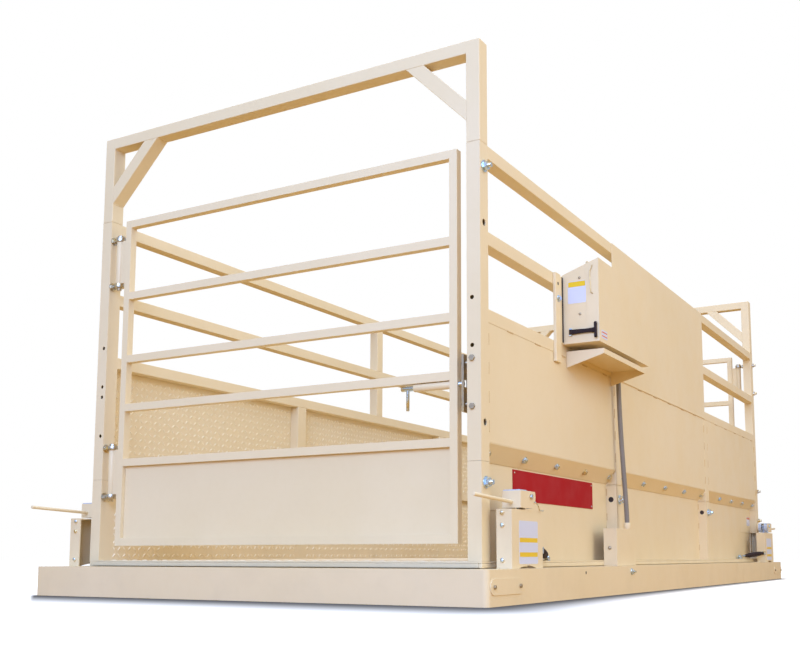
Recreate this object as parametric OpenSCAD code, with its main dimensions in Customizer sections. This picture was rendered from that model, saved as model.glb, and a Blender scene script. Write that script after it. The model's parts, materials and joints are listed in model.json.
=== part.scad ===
// Livestock weighing crate: a knock-down cage on a live deck, carried by four load cells in a low base frame.
// Millimetres, +Z up, origin on the ground under the middle of the base. The front gate faces -Y.

/* [Base frame] */
// Overall width of the base frame
base_w = 2134; // [2000:1:2300]
// Overall length of the base frame
base_l = 4877; // [4600:1:5200]
// Height of the base frame
base_h = 121; // [116:1:126]
// Plate thickness of the base frame
base_t = 6; // [5:0.5:7]
// Width of the top flange along the sides
side_flange_w = 125; // [118:1:132]
// Width of the top flange across the ends
end_flange_w = 150; // [140:1:165]
// Width of the bottom flange that carries the load cells
sill_w = 260; // [250:1:280]
// Outer corner radius
base_corner_r = 20; // [10:1:30]
// Length of each oval cover on the base side
cover_l = 256; // [220:1:270]
// Height of each oval cover
cover_h = 54; // [46:1:60]

/* [Deck] */
// Height of the deck's top face over the ground
deck_top = 146; // [143:1:152]
// Thickness of the deck plate
deck_t = 6; // [5:0.5:8]
// Gap between the base and the lip under the deck's edge
lip_gap = 2; // [1:0.5:8]
// Distance from the base edge to the cage at the sides
deck_inset_x = 113; // [108:1:120]
// Distance from the base edge to the cage at the ends
deck_inset_y = 185; // [178:1:192]
// Height of the deck joists
joist_h = 80; // [74:1:84]
// Width of the deck joists
joist_w = 50; // [40:1:56]

/* [Cage] */
// Width of a corner post across the crate
post_w = 55; // [50:1:60]
// Depth of a corner post along the crate
post_d = 64; // [58:1:70]
// Wall of the posts and rails
tube_t = 4; // [3:0.5:5]
// Height of the seam between the lower and upper side sections
seam_low = 495; // [485:1:505]
// Height of the seam under the end arches
seam_high = 1660; // [1640:1:1690]
// Height of the side rails' section
rail_h = 50; // [44:1:54]
// Top of the middle side rail
rail_mid_top = 1334; // [1310:1:1350]
// Top of the rail over the side sheets
rail_low_top = 1047; // [1035:1:1060]
// Width of the bay posts along the crate
bay_post_w = 76; // [70:1:84]
// Place of the front bay posts before the middle, as a share of the base length
bay_front_share = 0.1669; // [0.155:0.0001:0.18]
// Place of the rear bay posts behind the middle, as a share of the base length
bay_rear_share = 0.1669; // [0.155:0.0001:0.18]
// Width of the post between the upper rails
mid_post_w = 64; // [50:1:76]
// Thickness of the sheets
sheet_t = 3; // [2:0.5:4]
// Bottom of the upper side sheets
sheet_bottom = 565; // [555:1:575]
// Bottom of the shield sheet on the right side
shield_bottom = 1000; // [998:1:1010]
// Recess of the lower side sheets from the cage's outer face
sheet_recess = 50; // [44:1:52]
// Length of the opening in the lower sheet beside each corner post
corner_gap_l = 310; // [290:1:330]
// Height of that opening over the deck
corner_gap_h = 184; // [160:1:200]

/* [End arches] */
// Height of the end arches over the upper seam
arch_h = 391; // [340:1:450]
// Height of the arch's cross bar
arch_bar_h = 49; // [44:1:56]
// Length of a corner brace's leg along the post and the cross bar
brace_leg = 258; // [220:1:300]
// Height of the brace's cut on the post
brace_cut = 78; // [66:1:90]

/* [Gates] */
// Square tube of the gates
gate_tube = 32; // [28:1:36]
// Wall of the gate tube
gate_wall = 2.5; // [2:0.25:3]
// Gap between the hinge post and the gate
hinge_gap = 91; // [88:1:96]
// Gap between the latch post and the gate
latch_gap = 39; // [37:1:45]
// Bottom of the gates
gate_bottom = 208; // [200:1:216]
// Top of the gates
gate_top = 1645; // [1620:1:1655]
// Top of the second gate rail
gate_rail_2 = 1318; // [1290:1:1340]
// Top of the third gate rail
gate_rail_3 = 1035; // [1010:1:1060]
// Top of the fourth gate rail, which carries the bolt guide
gate_rail_4 = 820; // [806:1:834]
// Top of the rail over the gate's sheet
gate_rail_5 = 581; // [560:1:600]
// Diameter of the hinge pins
hinge_pin_d = 20; // [18:0.5:21]
// Outer diameter of the hinge barrels
barrel_d = 32; // [30:0.5:36]
// Diameter of the latch bolt
bolt_d = 19; // [17:0.5:20]
// Outer diameter of the bolt guide
guide_d = 29; // [27:0.5:32]

/* [Lock stands] */
// Width of a lock stand across the crate
stand_w = 59; // [56:1:60]
// Length of a lock stand along the crate
stand_l = 266; // [260:1:272]
// Height of a lock stand over the base
stand_h = 207; // [200:1:214]
// Plate of the lock stands
stand_t = 5; // [4:0.5:6]
// Distance from the base edge to the stand at the latch corners
stand_inset_latch = 238; // [234:1:244]
// Distance from the base edge to the stand at the hinge corners
stand_inset_hinge = 152; // [146:1:158]
// Height of the lever's pivot over the stand's top
pivot_h = 48; // [46:1:52]
// Diameter of the lever's pivot bolt
pivot_d = 12; // [10:0.5:14]
// Length of the lever rod
lever_l = 294; // [270:1:310]
// Diameter of the lever rod
lever_d = 13; // [11:0.5:15]

/* [Cabinet] */
// Reach of the cabinet past the shield sheet's front edge
cab_past = 22; // [15:1:28]
// Length of the cabinet
cab_l = 660; // [640:1:670]
// Bottom of the cabinet
cab_bottom = 1045; // [1043:1:1052]
// Height of the cabinet at its back
cab_back_h = 296; // [286:1:306]
// Depth of the cabinet's case
case_d = 109; // [102:1:116]
// Depth of the cabinet's door pan
door_d = 54; // [48:1:60]
// Rise of the cabinet's roof for each unit outward
roof_slope_share = 0.35; // [0.25:0.01:0.45]
// Sheet of the cabinet
cab_t = 3; // [2:0.5:4]
// Diameter of the conduit
conduit_d = 22; // [18:1:26]

/* [Hidden] */

coat = "#efe0bd";
zinc = "#aeb6bf";
black = "#1d1a1c";
grey = "#8f857d";
red = "#b01018";
$fn = 48;

// Overrun of every cut, the gap left for a weld, the gap at a bolted seat and the gap between running faces
over = 1;
weld = 0.2;
seat = 0.2;
run = 0.3;
fit = 0.05;
hole_fit = 0.5;
seam = 1;

// Faces of the cage
half_w = base_w / 2;
half_l = base_l / 2;
bay_front_y = -base_l * bay_front_share;
bay_rear_y = base_l * bay_rear_share;
arch_top = seam_high + arch_h;
out_x = half_w - deck_inset_x;
in_x = out_x - post_w;
front_y = deck_inset_y - half_l;
post_y = front_y + post_d;
sheet_x = out_x - sheet_recess;
skirt_foot = 8;
skirt_low = seam_low + skirt_foot;
bays = [[post_y, bay_front_y - bay_post_w / 2], [bay_front_y + bay_post_w / 2, bay_rear_y - bay_post_w / 2],
    [bay_rear_y + bay_post_w / 2, -post_y]];
sheet_sink = 1;
upper_x = out_x - sheet_sink;
shield_y = [bays[0][1], bay_rear_y - bay_post_w / 4];

// Gate and hinge places
gate_x0 = hinge_gap - in_x;
gate_x1 = in_x - latch_gap;
gate_mid_y = front_y + gate_tube / 2;
gate_rails = [gate_top, gate_rail_2, gate_rail_3, gate_rail_4, gate_rail_5, gate_bottom + gate_tube];
hinge_share = 0.48;
hinge_x = hinge_gap * hinge_share - in_x;
hinge_drops = [74, 285];
hinge_rises = [425, 213];
hinge_pairs = [[for (d = hinge_drops) gate_top - d], [for (d = hinge_rises) gate_bottom + d]];
eye_d = 44;
eye_h = 18;
shank_d = 16;
nut_af = 24;
nut_h = 13;
shank_tail = 26;
pin_head_d = 30;
pin_head_h = 8;
pin_tail = 12;
barrel_strap_t = 12;
bolt_z = gate_rail_4 - gate_tube - guide_d / 2 - weld;
guide_l = 152;
guide_x0 = gate_x1 - gate_tube - guide_l;
keeper_t = 8;
keeper_h = 207;
keeper_w = 44;
keeper_stand = 11;
keeper_x = in_x - keeper_stand - keeper_t;
keeper_stud_d = 14;
keeper_stud_l = 20;
keeper_stud_off = 74;
keeper_stud_z = [bolt_z - keeper_stud_off, bolt_z + keeper_stud_off];
keeper_play = 4;
keeper_proud = 10;
tip_gap = 2;
bolt_tail = 19;
pull_d = 12;
pull_l = 82;
pull_gap = 24;
strike_offs = [308, 134, 88, -85];
strike_holes = [for (d = strike_offs) bolt_z + d];
strike_used = [strike_holes[2], strike_holes[3]];
strike_d = 15;
screw_head_d = 20;
screw_head_h = 8;
washer_d = 36;
washer_t = 4;

// Lock stand places, measured on the front right corner
stand_edge = 83;
stand_x0 = half_w - stand_edge;
stand_top = base_h + stand_h;
pivot_z = stand_top + pivot_h;
pivot_back = 150;
head_front = 88;
head_r = 42;
head_up = 19;
head_t = 5;
head_w = 72;
head_roof_gap = 26;
lug_t = 16;
lug_r = 11;
lever_drop = 21;
lever_tilt = 2.5;
stand_arch_w = 150;
stand_arch_h = 11;
stand_bolt_z = [30, 151, 194];
stand_bolt_share = 0.4;
bolt_head_d = 14;
bolt_head_h = 6;
link_d = 12;
link_eye_d = 26;
link_eye_h = 12;
link_lug_t = 8;
link_edge = 24;
link_back = 300;
link_stand_in = 11;
link_tab_w = 24;
link_tab_t = 8;
link_up = 15;
link_stand_up = 65;
link_low = [out_x - link_edge, stand_l + link_back, deck_top + link_up];
link_high = [stand_x0 + stand_w - link_stand_in, stand_l + seat + link_tab_t / 2, base_h + link_stand_up];
sleeve_d = 32;
sleeve_l = 235;
sleeve_back = 12;
sleeve_ribs = 11;
sleeve_sides = 24;
sleeve_end_share = 0.6;
sleeve_taper_share = 0.25;
rib_depth = 2;

// Cabinet places
carrier_t = 12;
carrier_w = 56;
carrier_gap = 41;
carrier_strip_t = 4;
carrier_drop = 42;
case_x0 = out_x + seat;
case_x1 = case_x0 + case_d;
door_x0 = case_x1 + run;
door_x1 = door_x0 + door_d;
cab_y1 = shield_y[0] + cab_past;
cab_y0 = cab_y1 - cab_l;
roof_z0 = cab_bottom + cab_back_h;
knuckle_d = 14;
knuckle_pin_d = 8;
knuckle_n = 5;
shelf_lead = 41;
shelf_gap = 49;
shelf_drop = 23;
shelf_y0 = cab_y0 + shelf_lead;
shelf_y1 = shield_y[0] - shelf_gap;
shelf_top = cab_bottom - shelf_drop;
shelf_deep = 69;
shelf_lip = 22;
latch_rise = 47;
latch_in = 40;
latch_z = cab_bottom + latch_rise;
latch_x = case_x0 + latch_in;
strap_h = 22;
strap_t = 6;
tee_d = 13;
tee_l = 66;
tee_in = 13;
tee_x = door_x1 - tee_in;
anchor_pin_d = 6;
anchor_ear_t = 4;
anchor_wall = 4;
catch_t = 4;
catch_gap = 0.4;
prop_d = 5;
prop_l = 125;
prop_stub = 9;
prop_drop = 20;
prop_x = door_x0 + door_d / 2;
indicator_size = [60, 340, 180];
indicator_bottom = 65;
conduit_in = 31;
conduit_end = 52;
conduit_x = case_x0 + conduit_in;
conduit_top_y = cab_y1 - conduit_end;
gland_d = 34;
gland_h = 30;
gland_seat = 16;
cover_box_d = 62;
cover_box_x = [out_x + run, out_x + run + cover_box_d];
cover_box_l = 260;
cover_box_lead = 226;
cover_box_y = [bay_front_y - cover_box_lead, bay_front_y - cover_box_lead + cover_box_l];
cover_box_h = 167;
conduit_low_end = 63;
conduit_low_x = cover_box_x[1] - gland_d / 2 - seat;
conduit_top_share = 0.45;
conduit_low_share = 0.2;
conduit_low_y = cover_box_y[1] - conduit_low_end;
conduit_rings = 18;
conduit_sides = 12;

function arc(c, r, a0, a1, n) = [for (k = [0 : n]) c + r * [cos(a0 + (a1 - a0) * k / n),
    sin(a0 + (a1 - a0) * k / n)]];
function rounded(w, l, r, n) = concat(arc([w / 2 - r, l / 2 - r], r, 0, 90, n), arc([r - w / 2, l / 2 - r],
    r, 90, 180, n),
    arc([r - w / 2, r - l / 2], r, 180, 270, n), arc([w / 2 - r, r - l / 2], r, 270, 360, n));
function oval(l, h, n) = concat(arc([(l - h) / 2, 0], h / 2, -90, 90, n), arc([(h - l) / 2, 0], h / 2, 90,
    270, n));
function roof_z(x) = roof_z0 + (x - case_x0) * roof_slope_share;

// Box between two corners
module span(lo, hi) {
    translate(lo) cube(hi - lo);
}

// Square tubes between two corners, open at both ends along one axis
module tube_x(lo, hi, t) {
    difference() {
        span(lo, hi);
        span(lo + [-over, t, t], hi + [over, -t, -t]);
    }
}

module tube_y(lo, hi, t) {
    difference() {
        span(lo, hi);
        span(lo + [t, -over, t], hi + [-t, over, -t]);
    }
}

module tube_z(lo, hi, t) {
    difference() {
        span(lo, hi);
        span(lo + [t, t, -over], hi + [-t, -t, over]);
    }
}

// Round bars and rings along an axis, centred on a point
module rod_x(p, d, l) {
    translate(p) rotate([0, 90, 0]) cylinder(d = d, h = l);
}

module rod_y(p, d, l) {
    translate(p) rotate([-90, 0, 0]) cylinder(d = d, h = l);
}

module rod_z(p, d, l) {
    translate(p) cylinder(d = d, h = l);
}

// Hexagon bolt heads along X and Y, starting at a point
module hex_x(p, d, l) {
    translate(p) rotate([0, 90, 0]) cylinder(d = d / cos(30), h = l, $fn = 6);
}

module hex_y(p, d, l) {
    translate(p) rotate([-90, 0, 0]) cylinder(d = d / cos(30), h = l, $fn = 6);
}

// Hexagon nut along X with its thread hole, starting at a point
module nut_x(p) {
    translate(p) rotate([0, 90, 0]) difference() {
        cylinder(d = nut_af / cos(30), h = nut_h, $fn = 6);
        translate([0, 0, -over]) cylinder(d = shank_d + hole_fit, h = nut_h + 2 * over);
    }
}

// Washer along X under such a nut, starting at a point
module washer_x(p) {
    translate(p) rotate([0, 90, 0]) difference() {
        cylinder(d = washer_d, h = washer_t);
        translate([0, 0, -over]) cylinder(d = shank_d + hole_fit, h = washer_t + 2 * over);
    }
}

// Outline in X and Z, extruded along Y from y0 to y1
module profile_y(points, y0, y1) {
    translate([0, y1, 0]) rotate([90, 0, 0]) linear_extrude(y1 - y0) polygon(points);
}

// Outline in Y and Z, extruded along X from x0 to x1
module profile_x(points, x0, x1) {
    translate([x0, 0, 0]) rotate([90, 0, 90]) linear_extrude(x1 - x0) polygon(points);
}

module both_sides() {
    children();
    mirror([1, 0, 0]) children();
}

module both_ends() {
    children();
    rotate(180) children();
}

module four_corners() {
    both_sides() {
        children();
        mirror([0, 1, 0]) children();
    }
}

// Base frame with its load cells

cell_in = 73;
cell_inset = 338;
cell_x = half_w - sill_w + cell_in;
cell_y = half_l - cell_inset;
cell_size = [34, 140, 34];
cell_bore_d = 22;
spacer_l = 50;
spacer_h = 8;
joist_low = deck_top - deck_t - joist_h;
button_d = 24;
beam_size = [80, 40];
beam_y = half_l / 2;
access_size = [200, 34];
cover_t = 3;
cover_inset = 144;
cover_mid_y = half_l - cover_inset;
cover_z_share = 0.53;
cover_mid_z = base_h * cover_z_share;
cover_screw_d = 8;
cover_screw_off = (cover_l - cover_h) / 2;
corner_steps = 6;

module base_frame() {
    color(coat) difference() {
        linear_extrude(base_h) polygon(rounded(base_w, base_l, base_corner_r, corner_steps));
        span([base_t - half_w, base_t - half_l, base_t], [half_w - base_t, half_l - base_t,
            base_h - base_t]);
        span([side_flange_w - half_w, end_flange_w - half_l, base_t],
            [half_w - side_flange_w, half_l - end_flange_w, base_h + over]);
        span([sill_w - half_w, sill_w - half_l, -over], [half_w - sill_w, half_l - sill_w, base_t + over]);
        for (y = [sill_w - half_l, half_l - sill_w])
            span([-base_w, y - weld / 2, -over], [base_w, y + weld / 2, base_h + over]);
        four_corners() {
            span([half_w - base_t - over, cover_mid_y - access_size[0] / 2,
                cover_mid_z - access_size[1] / 2],
                [half_w + over, cover_mid_y + access_size[0] / 2, cover_mid_z + access_size[1] / 2]);
            for (side = [-1, 1])
                rod_x([half_w - base_t - over, cover_mid_y + side * cover_screw_off, cover_mid_z],
                    cover_screw_d + hole_fit, base_t + 2 * over);
        }
    }
}

module base_beams() {
    color(coat) for (y = [-beam_y, 0, beam_y])
        tube_x([sill_w - half_w + weld, y - beam_size[0] / 2, 0], [half_w - sill_w - weld,
            y + beam_size[0] / 2, beam_size[1]],
            tube_t);
}

module base_covers() {
    color(coat) four_corners() difference() {
        translate([half_w + seat, cover_mid_y, cover_mid_z]) rotate([90, 0, 90]) linear_extrude(cover_t)
            polygon(oval(cover_l, cover_h, corner_steps));
        for (side = [-1, 1])
            rod_x([half_w - over, cover_mid_y + side * cover_screw_off, cover_mid_z],
                cover_screw_d + hole_fit,
                cover_t + 2 * over);
    }
}

module cover_screws() {
    color(zinc) four_corners() for (side = [-1, 1]) {
        rod_x([half_w - base_t, cover_mid_y + side * cover_screw_off, cover_mid_z], cover_screw_d,
            base_t + cover_t + 2 * seat);
        rod_x([half_w + cover_t + 2 * seat, cover_mid_y + side * cover_screw_off, cover_mid_z], bolt_head_d,
            bolt_head_h);
    }
}

module load_cells() {
    color(zinc) four_corners() difference() {
        span([cell_x - cell_size[0] / 2, cell_y - cell_size[1] / 2, base_t + spacer_h + 2 * seat],
            [cell_x + cell_size[0] / 2, cell_y + cell_size[1] / 2,
                base_t + spacer_h + cell_size[2] + 2 * seat]);
        rod_x([cell_x - cell_size[0], cell_y, base_t + spacer_h + cell_size[2] / 2], cell_bore_d,
            2 * cell_size[0]);
    }
}

module cell_spacers() {
    color(zinc) four_corners() span([cell_x - cell_size[0] / 2, cell_y - cell_size[1] / 2, base_t + seat],
        [cell_x + cell_size[0] / 2, cell_y - cell_size[1] / 2 + spacer_l, base_t + spacer_h + seat]);
}

module load_buttons() {
    cell_top = base_t + spacer_h + cell_size[2] + 3 * seat;
    color(zinc) four_corners()
        rod_z([cell_x, cell_y + cell_size[1] / 2 - button_d, cell_top], button_d,
            joist_low - cell_top - seat);
}

// Deck

joist_end = 30;
cross_joists = 7;
cross_w = 40;
lip_w = 14;

module deck_joists() {
    top = deck_top - deck_t - seat;
    last = -front_y - joist_end;
    color(coat) {
        both_sides() tube_y([cell_x - joist_w / 2, -last, joist_low], [cell_x + joist_w / 2, last, top],
            tube_t);
        for (k = [0 : cross_joists - 1]) {
            y = (last - cross_w) * (2 * k / (cross_joists - 1) - 1);
            tube_x([joist_w / 2 - cell_x + weld, y - cross_w / 2, joist_low], [cell_x - joist_w / 2 - weld,
                y + cross_w / 2, top],
                tube_t);
        }
    }
}

module deck_lip() {
    top = deck_top - deck_t - seat;
    low = min(base_h + lip_gap, top - lip_w / 2);
    color(coat) {
        both_sides() span([out_x - lip_w, front_y, low], [out_x, -front_y, top]);
        both_ends() span([lip_w - out_x + weld, front_y, low], [out_x - lip_w - weld, front_y + lip_w, top]);
    }
}

module deck_plate() {
    color(coat) span([-out_x, front_y, deck_top - deck_t], [out_x, -front_y, deck_top]);
}

// Corner posts

spigot_t = 5;
spigot_l = 120;
splice_z = [hinge_pairs[0][0], hinge_pairs[1][1]];
open_holes = [hinge_pairs[0][1], hinge_pairs[1][0]];
open_hole_d = 26;
window_edge = 8;
post_mid_y = front_y + post_d / 2;
strike_share = 0.62;
strike_x = out_x - post_w * strike_share;
splice_d = 18;
splice_washer_d = 44;
splice_washer_t = 4;
splice_nut_af = 30;
splice_nut_h = 14;
splice_tail = 13;
bay_bolt_z = 427;
bay_bolt_l = 24;
bay_hole_d = 25;

// One corner post of the front right corner between two heights
module post(z0, z1) {
    tube_z([in_x, front_y, z0], [out_x, post_y, z1], tube_t);
}

module lower_posts() {
    color(coat) difference() {
        four_corners() post(deck_top + seat, seam_low - seam / 2);
        both_ends() rod_x([-out_x - over, gate_mid_y, splice_z[1]], shank_d + hole_fit, post_w + 2 * over);
        both_ends() rod_x([out_x - tube_t - over, post_mid_y, splice_z[1]], splice_d + hole_fit,
            tube_t + 2 * over);
        four_corners() span([in_x + window_edge, post_y - tube_t - over, deck_top + window_edge],
            [out_x - window_edge, post_y + over, deck_top + corner_gap_h]);
    }
}

// Row of open holes in a post's front wall
module strike_row(x) {
    for (z = strike_holes)
        rod_y([x, front_y - over, z], strike_d + hole_fit, tube_t + 2 * over);
}

module hinge_posts() {
    color(coat) both_ends() difference() {
        mirror([1, 0, 0]) post(seam_low + seam / 2, seam_high - seam / 2);
        for (z = [hinge_pairs[0][0], hinge_pairs[0][1], hinge_pairs[1][0]])
            rod_x([-out_x - over, gate_mid_y, z], shank_d + hole_fit, post_w + 2 * over);
        strike_row(-strike_x);
    }
}

module latch_posts() {
    color(coat) both_ends() difference() {
        post(seam_low + seam / 2, seam_high - seam / 2);
        strike_row(strike_x);
        rod_x([out_x - tube_t - over, post_mid_y, splice_z[0]], splice_d + hole_fit, tube_t + 2 * over);
        for (z = open_holes)
            rod_x([out_x - tube_t - over, post_mid_y, z], open_hole_d, tube_t + 2 * over);
        for (z = keeper_stud_z)
            rod_x([in_x - over, gate_mid_y, z], keeper_stud_d + hole_fit, tube_t + 2 * over);
    }
}

// Inner splice tubes across the seams
module post_spigots() {
    inset = tube_t + run;
    color(zinc) difference() {
        four_corners() for (z = [seam_low, seam_high])
            tube_z([in_x + inset, front_y + inset, z - spigot_l], [out_x - inset, post_y - inset,
                z + spigot_l], spigot_t);
        both_ends() for (z = splice_z) {
            rod_x([-out_x, gate_mid_y, z], shank_d + hole_fit, post_w);
            rod_x([out_x - tube_t - run - spigot_t - over, post_mid_y, z], splice_d + hole_fit,
                spigot_t + 2 * over);
        }
    }
}

module splice_bolts() {
    color(zinc) {
        both_ends() for (z = splice_z)
            side_bolt(post_mid_y, z, tube_t + run + spigot_t);
        both_sides() for (y = [bay_front_y, bay_rear_y])
            side_bolt(y, bay_bolt_z, bay_bolt_l);
    }
}

// Bolt through the cage's outer face with its washer, nut and thread end
module side_bolt(y, z, depth) {
    nut_x0 = out_x + seat + splice_washer_t;
    rod_x([out_x - depth, y, z], splice_d, depth + seat);
    rod_x([out_x + seat, y, z], splice_washer_d, splice_washer_t);
    hex_x([nut_x0, y, z], splice_nut_af, splice_nut_h);
    rod_x([nut_x0 + splice_nut_h, y, z], splice_d, splice_tail);
}

// Side walls, drawn on the right

sill_angle_h = 40;
bottom_rail_h = 40;
skirt_bolt_n = [5, 5, 5];
skirt_inset = 30;
skirt_in = 3;
skirt_washer_d = 28;
skirt_washer_t = 3;
skirt_head_af = 20;
skirt_head_h = 9;
skirt_sides = 24;

module lower_frame() {
    for (y = [bay_front_y, bay_rear_y])
        difference() {
            tube_z([in_x, y - bay_post_w / 2, deck_top + seat], [out_x, y + bay_post_w / 2,
                seam_low - seam / 2], tube_t);
            rod_x([out_x - tube_t - over, y, bay_bolt_z], splice_d + hole_fit, tube_t + 2 * over);
            rod_y([out_x - post_w / 2, y - bay_post_w / 2 - over, bay_bolt_z], bay_hole_d,
                tube_t + 2 * over);
        }
    for (b = bays)
        span([in_x, max(b[0], post_y + corner_gap_l) + weld, deck_top + seat],
            [sheet_x - sheet_t - weld, min(b[1], -post_y - corner_gap_l) - weld, deck_top + sill_angle_h]);
    for (y = [post_y, -post_y - corner_gap_l])
        span([in_x, y + weld, deck_top + seat], [sheet_x - sheet_t - weld, y + corner_gap_l - weld,
            deck_top + corner_gap_h + sill_angle_h]);
}

module side_frame() {
    for (y = [bay_front_y, bay_rear_y])
        tube_z([in_x, y - bay_post_w / 2, seam_low + seam / 2], [out_x, y + bay_post_w / 2,
            rail_low_top - rail_h - weld], tube_t);
    for (top = [seam_high - seam / 2, rail_mid_top, rail_low_top])
        tube_y([in_x, post_y + weld, top - rail_h], [out_x, -post_y - weld, top], tube_t);
    for (b = bays)
        tube_y([in_x, b[0] + weld, sheet_bottom + weld],
            [upper_x - sheet_t - weld, b[1] - weld, sheet_bottom + bottom_rail_h], tube_t);
    for (z = [[rail_low_top, rail_mid_top - rail_h], [rail_mid_top, seam_high - seam / 2 - rail_h]])
        tube_z([in_x, -mid_post_w / 2, z[0] + weld], [out_x, mid_post_w / 2, z[1] - weld], tube_t);
}

// Recessed sheets of each bay, with a lintel strip over the opening beside each corner post
module lower_sheets() {
    x0 = sheet_x - sheet_t;
    for (b = bays)
        span([x0, max(b[0], post_y + corner_gap_l) + weld, deck_top + seat],
            [sheet_x, min(b[1], -post_y - corner_gap_l) - weld, skirt_low]);
    for (y = [post_y, -post_y - corner_gap_l])
        span([x0, y + weld, deck_top + corner_gap_h], [sheet_x, y + corner_gap_l - weld, skirt_low]);
}

// Sheet of each bay, set flush in its frame under the rail
module upper_sheets() {
    for (b = bays)
        span([upper_x - sheet_t, b[0] + weld, sheet_bottom], [upper_x, b[1] - weld,
            rail_low_top - rail_h - weld]);
}

// Sloped strip from the upper sheet's bottom to the lower sheet's top
module skirts() {
    top = [upper_x - sheet_t - seat, sheet_bottom];
    low = [sheet_x + skirt_in, skirt_low];
    for (b = bays)
        profile_y([low, low + [0, -sheet_t], top + [sheet_t, -sheet_t], top + [sheet_t + seat, -weld],
            top + [0, -weld]],
            b[0] + weld, b[1] - weld);
}

module left_lower_frame() {
    color(coat) mirror([1, 0, 0]) lower_frame();
}

module right_lower_frame() {
    color(coat) lower_frame();
}

module left_side_frame() {
    color(coat) mirror([1, 0, 0]) side_frame();
}

module right_side_frame() {
    color(coat) side_frame();
}

module left_lower_sheets() {
    color(coat) mirror([1, 0, 0]) lower_sheets();
}

module right_lower_sheets() {
    color(coat) lower_sheets();
}

module left_upper_sheets() {
    color(coat) mirror([1, 0, 0]) upper_sheets();
}

module right_upper_sheets() {
    color(coat) upper_sheets();
}

module side_skirts() {
    color(coat) both_sides() skirts();
}

// Bolt heads square to the sloped strips
module skirt_bolts() {
    top = [upper_x - seat, sheet_bottom - sheet_t];
    low = [sheet_x + skirt_in, skirt_low - sheet_t];
    mid = (top + low) / 2;
    slope = atan2(top[1] - low[1], top[0] - low[0]);
    color(zinc) both_sides() for (k = [0 : len(bays) - 1], j = [0 : skirt_bolt_n[k] - 1]) {
        step = (bays[k][1] - bays[k][0] - 2 * skirt_inset) / (skirt_bolt_n[k] - 1);
        y = bays[k][0] + skirt_inset + j * step;
        translate([mid[0], y, mid[1]]) rotate([0, 180 - slope, 0]) {
            translate([0, 0, seat]) cylinder(d = skirt_washer_d, h = skirt_washer_t, $fn = skirt_sides);
            translate([0, 0, seat + skirt_washer_t]) cylinder(d = skirt_head_af / cos(30), h = skirt_head_h,
                $fn = 6);
        }
    }
}

// Shield with a notch for the cabinet's end
module shield_sheet() {
    x1 = out_x + seat + sheet_t;
    color(coat) difference() {
        span([out_x + seat, shield_y[0], shield_bottom], [x1, shield_y[1], seam_high]);
        span([out_x, shield_y[0] - over, cab_bottom - run], [x1 + over, cab_y1 + run, roof_z(x1) + run]);
    }
}

// End arches

module arch() {
    z0 = seam_high + seam / 2;
    under = arch_top - arch_bar_h;
    both_sides() difference() {
        span([in_x, front_y, z0], [out_x, post_y, arch_top]);
        span([in_x + tube_t, front_y + tube_t, z0 - over], [out_x - tube_t, post_y - tube_t,
            arch_top - tube_t]);
    }
    tube_x([weld - in_x, front_y, under], [in_x - weld, post_y, arch_top], tube_t);
    both_sides() profile_y([[in_x - weld, under - brace_leg], [in_x - weld, under - brace_leg + brace_cut],
        [in_x - brace_leg + brace_cut, under - weld], [in_x - brace_leg, under - weld]], front_y, post_y);
}

module front_arch() {
    color(coat) arch();
}

module rear_arch() {
    color(coat) rotate(180) arch();
}

// Gates, drawn at the front with the hinges on the left

module gate_frame() {
    back = front_y + gate_tube;
    difference() {
        union() {
            for (x = [gate_x0, gate_x1 - gate_tube])
                tube_z([x, front_y, gate_bottom], [x + gate_tube, back, gate_top], gate_wall);
        }
        rod_x([gate_x1 - gate_tube - over, gate_mid_y, bolt_z], bolt_d + hole_fit, gate_tube + 2 * over);
    }
    for (top = gate_rails)
        tube_x([gate_x0 + gate_tube + weld, front_y, top - gate_tube], [gate_x1 - gate_tube - weld, back,
            top], gate_wall);
    difference() {
        rod_x([guide_x0, gate_mid_y, bolt_z], guide_d, guide_l - weld);
        rod_x([guide_x0 - over, gate_mid_y, bolt_z], bolt_d + 2 * fit, guide_l + 2 * over);
    }
    for (pair = hinge_pairs)
        barrel(pair[1] + eye_h / 2 + run, pair[0] - eye_h / 2 - run);
}

// Hinge barrel between two eyes, with the strap that joins it to the gate
module barrel(z0, z1) {
    difference() {
        union() {
            rod_z([hinge_x, gate_mid_y, z0], barrel_d, z1 - z0);
            span([hinge_x, gate_mid_y - barrel_strap_t / 2, z0],
                [gate_x0 - weld, gate_mid_y + barrel_strap_t / 2, z1]);
        }
        rod_z([hinge_x, gate_mid_y, z0 - over], hinge_pin_d + 2 * fit, z1 - z0 + 2 * over);
    }
}

module gate_sheet() {
    mid = gate_mid_y + sheet_t;
    span([gate_x0 + gate_tube + weld, mid - sheet_t / 2, gate_bottom + gate_tube + weld],
        [gate_x1 - gate_tube - weld, mid + sheet_t / 2, gate_rail_5 - gate_tube - weld]);
}

module latch_bolt() {
    x0 = guide_x0 - pull_gap - pull_d - bolt_tail;
    rod_x([x0, gate_mid_y, bolt_z], bolt_d, keeper_x - tip_gap - x0);
    rod_z([guide_x0 - pull_gap - pull_d / 2, gate_mid_y, bolt_z - pull_l], pull_d, pull_l);
}

module front_gate_frame() {
    color(coat) gate_frame();
}

module front_gate_sheet() {
    color(coat) gate_sheet();
}

module front_latch_bolt() {
    color(zinc) latch_bolt();
}

module rear_gate_frame() {
    color(coat) rotate(180) gate_frame();
}

module rear_gate_sheet() {
    color(coat) rotate(180) gate_sheet();
}

module rear_latch_bolt() {
    color(zinc) rotate(180) latch_bolt();
}

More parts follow.
